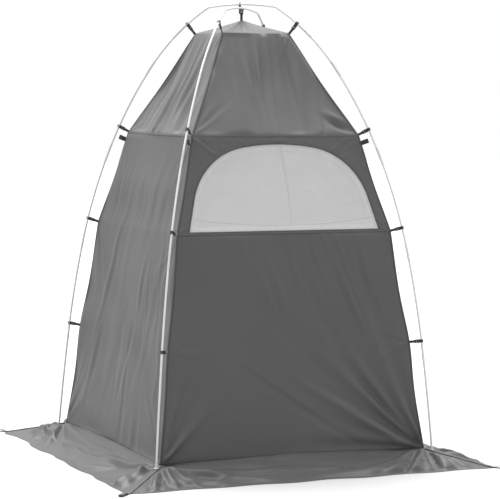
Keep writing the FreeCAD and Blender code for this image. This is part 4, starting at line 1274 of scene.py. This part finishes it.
def peg_piece():
    """The four peg loops past the skirt's corners, flat on the ground with one ply raised."""
    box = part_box("peg_loops")
    far = box[1].x * math.sqrt(2) - 0.010
    near = LEVELS["skirt"][1] * math.sqrt(2)
    loops = []
    for sx, sy in CORNER_SIGNS:
        out = np.array([sx, sy, 0.0]) / math.sqrt(2)
        up = box[1].z - 0.0006
        spots = [(near - 0.012, 0.0019), (near + 0.004, 0.0007), (far, 0.0007), (far, up),
                 (near + 0.016, up), (near + 0.002, 0.0042), (near - 0.012, 0.0034)]
        path = rounded([out * d + np.array([0, 0, z]) for d, z in spots], 0.0045)
        loops.append(web_strip("peg", path, (-out[1], out[0], 0), 0.0195, 0.0012))
    return joined("peg_loop_webbing", loops)


# back and front ends, half width, hole radius, lift, thickness and ripple height of each strip
CORNER_STRIP = (-0.034, 0.314, 0.0125, 0.0100, 0.0002, 0.0009, 0.0004)
FOOT_TAB = (-0.036, 0.0145, 0.0115, 0.0100, 0.0013, 0.0013, 0.0)


def holed_strip(name, place, back, front, half, hole, lift, thickness, ripple_height):
    """Flat strip with a round hole; place is (origin, along, across, up)."""
    origin, along, across, up = place
    corners = [(front, -half), (front, half), (back, half), (back, -half)]
    rim = []
    for (x0, y0), (x1, y1) in zip(corners, corners[1:] + corners[:1]):
        count = max(6, int(math.hypot(x1 - x0, y1 - y0) / 0.006))
        rim += [(x0 + (x1 - x0) * i / count, y0 + (y1 - y0) * i / count) for i in range(count)]
    rim = np.array(rim)
    angle = np.arctan2(rim[:, 1], rim[:, 0])
    t = np.linspace(0, 1, 12)[:, None] ** 1.4
    x = rim[:, 0] * (1 - t) + hole * np.cos(angle) * t
    y = rim[:, 1] * (1 - t) + hole * np.sin(angle) * t
    wave = ripple_height * np.sin(x * 70.0) * smooth(0.02, 0.08, x)
    points = origin + x[..., None] * along + y[..., None] * across
    points = points + (lift + thickness + wave)[..., None] * up
    gap = np.minimum(half - np.abs(y), np.minimum(x - back, front - x)) + 0.004
    edges = np.stack([gap, gap * 0 + 0.03], axis=-1)
    return cloth_panel(name, points, np.stack([x, y], axis=-1), edges, thickness, wrap=True)


def ridge_places():
    """Origin, down-slope, across and lift of the skirt's four corner ridges."""
    (z0, h0), (_, h1) = LEVELS["base"], LEVELS["skirt"]
    drop = math.atan2(z0, (h1 - h0) * math.sqrt(2))
    d, z = eyelet_spot()
    places = []
    for sx, sy in CORNER_SIGNS:
        out = np.array([sx, sy, 0.0]) / math.sqrt(2)
        along = out * math.cos(drop) - np.array([0, 0, math.sin(drop)])
        lift = out * math.sin(drop) + np.array([0, 0, math.cos(drop)])
        across = np.cross(lift, along)
        places.append((out * d + np.array([0, 0, z]) - lift * 0.00165, along, across, lift))
    return places


def shower_loop():
    """The loop that hangs inside the peak, for a shower bag."""
    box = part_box("shower_hanging_loop")
    top, low, half = box[1].z, box[0].z + 0.0006, box[1].x - 0.0006
    hang = top - 0.0135
    spots = [(0.0007, top - 0.002), (0.0007, hang), (half, hang - 0.004), (half, low + 0.004),
             (half * 0.5, low), (-half * 0.5, low), (-half, low + 0.004), (-half, hang - 0.004),
             (-0.0007, hang), (-0.0007, top - 0.002)]
    path = rounded([np.array([x, 0, z]) for x, z in spots], 0.008)
    return web_strip("shower_loop_webbing", path, (0, 1, 0), 0.0215, 0.0012)


def apex_webbing():
    """The strap that ties the roof's peak to the hook on the pole crossing."""
    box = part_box("apex_strap")
    out = np.array([-1, 1, 0]) / math.sqrt(2)
    turn = np.array([1, 1, 0]) / math.sqrt(2)
    middle = np.array([(box[0].x + box[1].x) / 2, (box[0].y + box[1].y) / 2, 0])
    low, high = box[0].z, box[1].z
    ply = 0.00385
    spots = [(0.0007, low - 0.003), (0.0007, high - 0.018), (ply, high - 0.0105),
             (ply, high - 0.0006),
             (-ply, high - 0.0006), (-ply, high - 0.0105), (-0.0007, high - 0.018), (-0.0007,
                                                                                     low - 0.003)]
    path = rounded([middle + turn * t + np.array([0, 0, z]) for t, z in spots], 0.0025)
    return web_strip("apex_webbing", path, out, 0.0125, 0.0011)


def roof_cap():
    """Low pyramid of four gores, drawn up by the apex strap."""
    z0, h0 = LEVELS["top"][0], float(corner_half(LEVELS["top"][0]))
    z1 = LEVELS["apex"][0]
    per = 34
    t = np.linspace(0, 1, 26)[:, None]
    a = np.linspace(-1, 1, per, endpoint=False)
    rings = []
    for quarter in range(4):
        u = a[None, :] + 0 * t
        share = 1 - t
        half = 0.0006 + (h0 - 0.0006) * share
        z = z0 + (z1 - z0) * (0.86 * t + 0.14 * t ** 3)
        sag = 0.0050 * (1 - u ** 2) * np.sin(math.pi * np.clip(t, 0, 1))
        puckers = 0.0010 * np.sin(u * 21 + quarter) * np.sin(math.pi * t) * (1 - u ** 4)
        points = np.stack([u * half, -half + 0 * u, z - sag + puckers], axis=-1)
        rings.append(spin(points, quarter))
    points = np.concatenate(rings, axis=1)
    u = np.concatenate([a] * 4)[None, :] + 0 * t
    half = h0 * (1 - t)
    flat = np.stack([u * half + np.repeat(np.arange(4), per)[None, :] * 0.5, t * h0 + 0 * u],
                    axis=-1)
    edges = np.stack([(1 - np.abs(u)) * half, t * h0 + 0 * u], axis=-1)
    return cloth_panel("roof_cap_cloth", points, flat, edges, CLOTH, wrap=True)


# ------------------------------------------------------------------ settings
class TentCloth(bpy.types.PropertyGroup):
    fold_depth: FloatProperty(name="Fold depth", description="How strongly the cloth's folds show",
                              default=1.0, min=0.0, max=1.4, subtype="FACTOR")
    wall_colour: FloatVectorProperty(name="Wall cloth",
                                     description="Colour of the coated wall cloth",
                                     default=(0.075, 0.075,
                                              0.075), size=3, min=0.0, max=1.0, subtype="COLOR")
    # painted light: the roof is the wall cloth given a lighter colour for the light falling on it
    # from above
    roof_lit_colour: FloatVectorProperty(name="Roof cloth",
                                     description="Colour of the coated roof cloth",
                                     default=(0.092, 0.092,
                                              0.092), size=3, min=0.0, max=1.0, subtype="COLOR")
    # painted shade: the skirt is the wall cloth given a darker colour against the floor's bounced
    # light and its grazing sheen
    skirt_shaded_colour: FloatVectorProperty(name="Skirt cloth", description="Colour of the ground skirt",
                                      default=(0.052, 0.052, 0.052), size=3, min=0.0, max=1.0,
                                      subtype="COLOR")
    window_colour: FloatVectorProperty(name="Window cloth",
                                       description="Colour of the window's blind",
                                       default=(0.49, 0.49,
                                                0.49), size=3, min=0.0, max=1.0, subtype="COLOR")
    net_colour: FloatVectorProperty(name="Window net", description="Colour of the window's net",
                                    default=(0.58, 0.58,
                                             0.58), size=3, min=0.0, max=1.0, subtype="COLOR")
    cell: FloatProperty(name="Cloth cell", description="Size of the cloth mesh's cells",
                        default=0.009,
                        min=0.005, max=0.03, unit="LENGTH", precision=4)


class TentHardware(bpy.types.PropertyGroup):
    webbing_colour: FloatVectorProperty(name="Webbing", description="Colour of straps and loops",
                                        default=(0.018, 0.018, 0.019), size=3, min=0.0, max=1.0,
                                        subtype="COLOR")
    plastic_colour: FloatVectorProperty(name="Clips", description="Colour of the moulded clips",
                                        default=(0.014, 0.014, 0.015), size=3, min=0.0, max=1.0,
                                        subtype="COLOR")
    pole_colour: FloatVectorProperty(name="Poles", description="Colour of the pole tubes",
                                     default=(0.55, 0.55,
                                              0.55), size=3, min=0.0, max=1.0, subtype="COLOR")
    metal_colour: FloatVectorProperty(name="Ferrules", description="Colour of ferrules and eyelets",
                                      default=(0.62, 0.62,
                                               0.63), size=3, min=0.0, max=1.0, subtype="COLOR")


class TentStage(bpy.types.PropertyGroup):
    floor_colour: FloatVectorProperty(name="Floor", description="Colour of the studio floor",
                                      default=(0.36, 0.36,
                                               0.36), size=3, min=0.0, max=1.0, subtype="COLOR")
    ambient: FloatProperty(name="Room light", description="Strength of the light from all round",
                           default=1.0, min=0.0, max=5.0)
    key_strength: FloatProperty(name="Overhead light",
                                description="Strength of the large soft light",
                                default=8.6, min=0.0, max=50.0)
    key_spread: FloatProperty(name="Overhead spread", description="How wide the soft light is",
                              default=math.radians(50), min=0.0, max=math.pi, subtype="ANGLE")
    lens: FloatProperty(name="Focal length", description="Camera focal length", default=153.2,
                        min=10.0,
                        max=400.0, unit="CAMERA")


# ------------------------------------------------------------------ operators
class FrontLowerWall(bpy.types.Operator):
    """Make the lower cloth of the window wall"""
    bl_idname = "tent.front_lower_wall"
    bl_label = "Front lower wall"
    bl_options = {"REGISTER", "UNDO"}

    def execute(self, context):
        cloth = context.scene.tent_cloth
        piece = wall_cloth("front_lower_cloth", 0, "base", "mid",
                           lambda *a: front_folds(*a) * cloth.fold_depth * FRONT_SLACK, cloth.cell)
        coat(piece, wall_finish())
        declare(piece, "wall_cloth", ["front_lower_panel"],
                flat=(2 * LEVELS["base"][1], slope_length("base", "mid")), held="stretched",
                area=panel_area("base", "mid"), rests_on=["low_clip_straps", "mid_clip_straps"])
        return {"FINISHED"}


class WindowWall(bpy.types.Operator):
    """Make the cloth round the window"""
    bl_idname = "tent.window_wall"
    bl_label = "Window wall"
    bl_options = {"REGISTER", "UNDO"}

    def execute(self, context):
        piece = coat(window_wall(), wall_finish())
        width = 2 * LEVELS["mid"][1] + 2 * SEAM_MARGIN
        length = slope_length("mid", "shoulder") + 2 * SEAM_MARGIN
        seams = SEAM_ALLOWANCE * (2 * length + LEVEL_EDGES + WINDOW_EDGE)
        declare(piece, "wall_cloth", ["front_window_panel"], flat=(width, length), held="stretched",
                area=panel_area("mid", "shoulder") - window_area() + seams,
                rests_on=["mid_clip_straps", "shoulder_clip_straps"])
        return {"FINISHED"}


class SideWalls(bpy.types.Operator):
    """Make the two plain side walls"""
    bl_idname = "tent.side_walls"
    bl_label = "Side walls"
    bl_options = {"REGISTER", "UNDO"}

    def execute(self, context):
        cloth = context.scene.tent_cloth
        for name, quarter, seed in (("left", 3, 51), ("right", 1, 151)):
            folds = side_folds(seed, cloth.fold_depth)
            piece = wall_cloth(name + "_wall_cloth", quarter, "base", "shoulder", folds, cloth.cell)
            coat(piece, wall_finish())
            declare(piece, "wall_cloth", [name + "_side_wall"], held="stretched", area=wall_area(),
                    flat=(2 * LEVELS["base"][1], slope_length("base", "mid", "shoulder")),
                    rests_on=["low_clip_straps", "mid_clip_straps", "shoulder_clip_straps"])
        return {"FINISHED"}


class DoorWall(bpy.types.Operator):
    """Make the wall round the doorway"""
    bl_idname = "tent.door_wall"
    bl_label = "Door wall"
    bl_options = {"REGISTER", "UNDO"}

    def execute(self, context):
        piece = coat(door_wall(), wall_finish())
        low, high = doorway()
        declare(piece, "wall_cloth", ["door_wall_panel"], held="stretched",
                flat=(2 * LEVELS["base"][1], slope_length("base", "mid", "shoulder")),
                area=wall_area() - 2 * DOOR_HALF * (high - low),
                rests_on=["low_clip_straps", "mid_clip_straps", "shoulder_clip_straps"])
        return {"FINISHED"}


class Door(bpy.types.Operator):
    """Make the door"""
    bl_idname = "tent.door"
    bl_label = "Door"
    bl_options = {"REGISTER", "UNDO"}

    def execute(self, context):
        piece = coat(door_cloth(), wall_finish())
        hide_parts("door_panel")
        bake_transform(piece)
        return {"FINISHED"}


class DoorZip(bpy.types.Operator):
    """Make the zip's two halves"""
    bl_idname = "tent.door_zip"
    bl_label = "Door zip"
    bl_options = {"REGISTER", "UNDO"}

    def execute(self, context):
        hardware = context.scene.tent_hardware
        wall, leaf = zip_pieces()
        finish = coil_finish("zip_tape", tuple(hardware.webbing_colour))
        coat(wall, finish)
        coat(leaf, finish)
        declare(wall, "zip_tape", ["door_zip_wall_tape"])
        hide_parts("door_zip_door_tape")
        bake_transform(leaf)
        return {"FINISHED"}


class Roof(bpy.types.Operator):
    """Make the four roof slopes and the cap"""
    bl_idname = "tent.roof"
    bl_label = "Roof"
    bl_options = {"REGISTER", "UNDO"}

    def execute(self, context):
        cloth = context.scene.tent_cloth
        # the roof slopes get the wall cloth painted lighter, as painted light from above
        finish = cloth_finish("roof_cloth", tuple(cloth.roof_lit_colour))
        for quarter, side in enumerate(SIDES):
            folds = roof_folds(91 + 10 * quarter, cloth.fold_depth, side == "front")
            piece = wall_cloth("roof_%s_cloth" % side, quarter, "shoulder", "top", folds,
                               cloth.cell * 0.8)
            coat(piece, finish)
            declare(piece, "roof_cloth", ["roof_slope_" + side], held="stretched",
                    flat=(2 * LEVELS["shoulder"][1], slope_length("shoulder", "top")),
                    area=panel_area("shoulder", "top"),
                    rests_on=["shoulder_clip_straps", "top_clip_straps"])
        half = LEVELS["top"][1]
        rise = LEVELS["apex"][0] - LEVELS["top"][0]
        piece = coat(roof_cap(), cloth_finish("cap_cloth", tuple(cloth.wall_colour)))
        declare(piece, "roof_cloth", ["roof_cap"], held="stretched", flat=(2 * half, 2 * half),
                area=min(4 * half * half, 4 * half * math.hypot(half, rise)),
                rests_on=["top_clip_straps", "apex_strap"])
        return {"FINISHED"}


class Skirt(bpy.types.Operator):
    """Make the four ground skirts and their corner tapes"""
    bl_idname = "tent.skirt"
    bl_label = "Skirt"
    bl_options = {"REGISTER", "UNDO"}

    def execute(self, context):
        cloth = context.scene.tent_cloth
        hardware = context.scene.tent_hardware
        # the skirts get the wall cloth painted darker, as painted shade
        finish = cloth_finish("skirt_cloth", tuple(cloth.skirt_shaded_colour))
        base, edge = LEVELS["base"], LEVELS["skirt"]
        reach = math.hypot(edge[1] - base[1], base[0])
        for quarter, side in enumerate(SIDES):
            piece = coat(skirt_cloth("skirt_%s_cloth" % side, quarter, 201 + 10 * quarter), finish)
            declare(piece, "skirt_cloth", ["skirt_" + side], held="laid", flat=(2 * edge[1], reach),
                    area=(base[1] + edge[1]) * reach)
        strips = [holed_strip("strip", place, *CORNER_STRIP) for place in ridge_places()]
        strips = coat(joined("skirt_corner_tapes", strips), finish)
        declare(strips, "skirt_cloth", ["skirt_corner_strips"])
        webbing = webbing_finish("webbing", tuple(hardware.webbing_colour))
        tabs = [holed_strip("tab", place, *FOOT_TAB) for place in ridge_places()]
        tabs = coat(joined("foot_tab_webbing", tabs), webbing)
        declare(tabs, "webbing", ["foot_tabs"])
        return {"FINISHED"}


class Window(bpy.types.Operator):
    """Make the window's net, blind, binding and closing strips"""
    bl_idname = "tent.window"
    bl_label = "Window"
    bl_options = {"REGISTER", "UNDO"}

    def execute(self, context):
        cloth = context.scene.tent_cloth
        net = window_sheet("window_net", 0.006, 0.0013, net_folds, 0.0006, 0.05)
        coat(net, net_finish(tuple(cloth.net_colour)))
        tall, wide = WINDOW_TALL - WINDOW_SILL, 2 * WINDOW_HALF
        declare(net, "mesh", ["window_mesh"], held="stretched", flat=(wide + 0.02, tall + 0.02),
                area=window_area(0.009))
        flap = window_sheet("window_blind", 0.005, 0.0043, blind_folds, 0.0007, 0.022)
        # the blind's creases get painted shade in their colour
        coat(flap, cloth_finish("window_cloth", tuple(cloth.window_colour), rough=0.42, blotch=0.07,
                                hem=STITCH_IN, painted_crease_shade=True))
        declare(flap, "window_cloth", ["window_flap"], "window_flap_body", held="hung",
                flat=(wide + 0.015,
                      tall + 0.015), area=window_area(0.007), rests_on=["window_hook_strip"])
        band = coat(window_band("window_binding_tape", 0.0078, 0.0, -0.0011, 0.0010), wall_finish())
        declare(band, "binding", ["window_binding"])
        grip = cloth_finish("hook_and_loop", tuple(cloth.window_colour), rough=0.9, sheen=0.5,
                            stitches=False)
        hook = coat(window_band("window_hook_tape", 0.004, -0.010, 0.0023, 0.0008), grip)
        declare(hook, "hook_and_loop", ["window_hook_strip"])
        loop = coat(window_band("window_loop_tape", 0.004, -0.010, 0.0034, 0.0007), grip)
        declare(loop, "hook_and_loop", ["window_loop_strip"], "window_flap_body")
        return {"FINISHED"}


class SeamTapes(bpy.types.Operator):
    """Make the corner bindings and the felled level seams"""
    bl_idname = "tent.seam_tapes"
    bl_label = "Seam tapes"
    bl_options = {"REGISTER", "UNDO"}

    def execute(self, context):
        cloth = context.scene.tent_cloth
        finish = cloth_finish("binding", tuple(c * 0.8 for c in cloth.wall_colour), rough=0.58)
        for quarter, corner in enumerate(CORNERS):
            piece = coat(corner_tape("corner_tape_" + corner, quarter), finish)
            declare(piece, "binding", ["corner_binding_" + corner])
        seams = [level_seam("seam", quarter, "shoulder") for quarter in range(4)]
        piece = coat(joined("shoulder_seam_tape", seams), wall_finish())
        declare(piece, "binding", ["shoulder_seam_piping"])
        piece = coat(level_seam("mid_seam_tape", 0, "mid", 0.007), wall_finish())
        declare(piece, "binding", ["front_mid_seam_piping"])
        return {"FINISHED"}


class ClipStraps(bpy.types.Operator):
    """Make the webbing that ties the clips to the corner seams"""
    bl_idname = "tent.clip_straps"
    bl_label = "Clip straps"
    bl_options = {"REGISTER", "UNDO"}

    def execute(self, context):
        hardware = context.scene.tent_hardware
        finish = webbing_finish("webbing", tuple(hardware.webbing_colour))
        for level in CLIP_LEVELS:
            declare(coat(strap_piece(level), finish), "webbing", [level + "_clip_straps"])
        return {"FINISHED"}


class Loops(bpy.types.Operator):
    """Make the guy, peg, shower and apex webbing"""
    bl_idname = "tent.loops"
    bl_label = "Webbing loops"
    bl_options = {"REGISTER", "UNDO"}

    def execute(self, context):
        hardware = context.scene.tent_hardware
        finish = webbing_finish("webbing", tuple(hardware.webbing_colour))
        for made, node in ((guy_piece(), "guy_loops"), (peg_piece(), "peg_loops"),
                           (shower_loop(), "shower_hanging_loop"), (apex_webbing(), "apex_strap")):
            declare(coat(made, finish), "webbing", [node])
        return {"FINISHED"}


class Hardware(bpy.types.Operator):
    """Finish the poles, clips, zip slider and eyelets"""
    bl_idname = "tent.hardware"
    bl_label = "Poles and fittings"
    bl_options = {"REGISTER", "UNDO"}

    def execute(self, context):
        hardware = context.scene.tent_hardware
        metal = tuple(hardware.metal_colour)
        tubes = ["pole_sections_" + c for c in CORNERS] + ["outer_arch_top_tube",
                                                           "inner_arch_top_tube"]
        finish_nodes(tubes, pole_finish("pole", tuple(hardware.pole_colour)))
        finish_nodes(["ferrules_" + c for c in CORNERS], metal_finish("ferrule", metal, 0.34))
        finish_nodes(["foot_eyelets"], metal_finish("eyelet", metal, 0.3))
        finish_nodes(["door_zip_slider", "door_pull_outside", "door_pull_inside"],
                     metal_finish("zip_metal", tuple(c * 0.7 for c in metal), 0.32, 700.0))
        clips = [level + "_clip_hooks" for level in CLIP_LEVELS]
        finish_nodes(clips + ["apex_hook"],
                     plastic_finish("clip_plastic", tuple(hardware.plastic_colour)))
        finish_nodes(["pole_tips"], plastic_finish("tip_plastic", tuple(hardware.plastic_colour),
                                                   0.5))
        finish_nodes(["outer_arch_shock_cord", "inner_arch_shock_cord"],
                     webbing_finish("shock_cord", (0.6, 0.6, 0.6)))
        return {"FINISHED"}


FLOOR_REACH = 40.0
FLOOR_LINES = 24
FLOOR_LEVEL = -0.0005
CAMERA_AT = (-4.096, -9.656, 1.773)
CAMERA_TURN = math.radians(23.25)
CAMERA_DIP = math.radians(4.24)
CAMERA_ROLL = math.radians(0.39)
LIGHT_FROM = Vector((-0.12, 1.5, 4.6))
LIGHT_AWAY = 5.0


def studio_floor(colour):
    """A wide plain floor just under the feet."""
    n = FLOOR_LINES
    grid = np.linspace(-FLOOR_REACH, FLOOR_REACH, n)
    x, y = np.meshgrid(grid, grid)
    points = np.stack([x.ravel(), y.ravel(), np.full(n * n, FLOOR_LEVEL)], axis=1)
    faces = [(r * n + c, r * n + c + 1, (r + 1) * n + c + 1, (r + 1) * n + c)
             for r in range(n - 1) for c in range(n - 1)]
    floor = settle(points, faces, "studio_floor")
    finish = Finish("studio_floor", colour, 0.85, specular=0.1)
    finish.base(finish.tint(finish.noise(0.6, 2.0), 0.985, 1.015))
    return coat(floor, finish.material)


def room_light(strength):
    """Even white light from all round."""
    world = bpy.data.worlds.new("room")
    world.use_nodes = True
    background = world.node_tree.nodes["Background"].inputs
    background[0].default_value = (1, 1, 1, 1)
    background[1].default_value = strength
    return world


def overhead_light(strength, spread):
    """One very wide soft light from above and behind."""
    key = bpy.data.lights.new("overhead", "SUN")
    key.angle, key.energy = spread, strength
    lamp = bpy.data.objects.new("overhead", key)
    heading = LIGHT_FROM.normalized()
    lamp.location = heading * LIGHT_AWAY
    lamp.rotation_euler = heading.to_track_quat("Z", "Y").to_euler()
    return lamp


def stage_camera(focal):
    """The camera, turned, dipped and slightly rolled."""
    lens = bpy.data.cameras.new("camera")
    lens.lens, lens.sensor_width = focal, 36.0
    lens.clip_end = 200.0
    camera = bpy.data.objects.new("camera", lens)
    forward = Vector((math.sin(CAMERA_TURN) * math.cos(CAMERA_DIP),
                      math.cos(CAMERA_TURN) * math.cos(CAMERA_DIP), -math.sin(CAMERA_DIP)))
    right = forward.cross(Vector((0, 0, 1))).normalized()
    up = right.cross(forward)
    c, s = math.cos(CAMERA_ROLL), math.sin(CAMERA_ROLL)
    right, up = right * c + up * s, up * c - right * s
    turn = Matrix((right, up, -forward)).transposed().to_4x4()
    camera.matrix_world = Matrix.Translation(CAMERA_AT) @ turn
    return camera


class Stage(bpy.types.Operator):
    """Make the floor, lights and camera"""
    bl_idname = "tent.stage"
    bl_label = "Stage"
    bl_options = {"REGISTER", "UNDO"}

    def execute(self, context):
        stage = context.scene.tent_stage
        scene = context.scene
        studio_floor(tuple(stage.floor_colour))
        scene.world = room_light(stage.ambient)
        scene.collection.objects.link(overhead_light(stage.key_strength, stage.key_spread))
        camera = stage_camera(stage.lens)
        scene.collection.objects.link(camera)
        scene.camera = camera
        scene.view_settings.view_transform = "Standard"
        return {"FINISHED"}


OPERATORS = (FrontLowerWall, WindowWall, SideWalls, DoorWall, Door, DoorZip, Roof, Skirt, Window,
             SeamTapes,
             ClipStraps, Loops, Hardware, Stage)


class TentPanel(bpy.types.Panel):
    """Lists the tent's settings and operators"""
    bl_idname = "VIEW3D_PT_shower_tent"
    bl_label = "Shower tent"
    bl_space_type = "VIEW_3D"
    bl_region_type = "UI"
    bl_category = "Shower tent"

    def draw(self, context):
        for group in settings():
            box = self.layout.box()
            for name in group.bl_rna.properties.keys():
                if name not in ("rna_type", "name"):
                    box.prop(group, name)
        for operator in OPERATORS:
            self.layout.operator(operator.bl_idname)


GROUPS = (("tent_cloth", TentCloth), ("tent_hardware", TentHardware), ("tent_stage", TentStage))


def register():
    """Makes the settings, operators and panel known."""
    for _, group in GROUPS:
        bpy.utils.register_class(group)
    for name, group in GROUPS:
        setattr(bpy.types.Scene, name, PointerProperty(type=group))
    for operator in OPERATORS + (TentPanel,):
        bpy.utils.register_class(operator)


def unregister():
    """Takes them away again."""
    for operator in (TentPanel,) + OPERATORS[::-1]:
        bpy.utils.unregister_class(operator)
    for name, group in GROUPS:
        delattr(bpy.types.Scene, name)
        bpy.utils.unregister_class(group)


def main():
    """Makes every piece in order."""
    register()
    for operator in OPERATORS:
        family, name = operator.bl_idname.split(".")
        getattr(getattr(bpy.ops, family), name)()


if __name__ == "__main__":
    main()
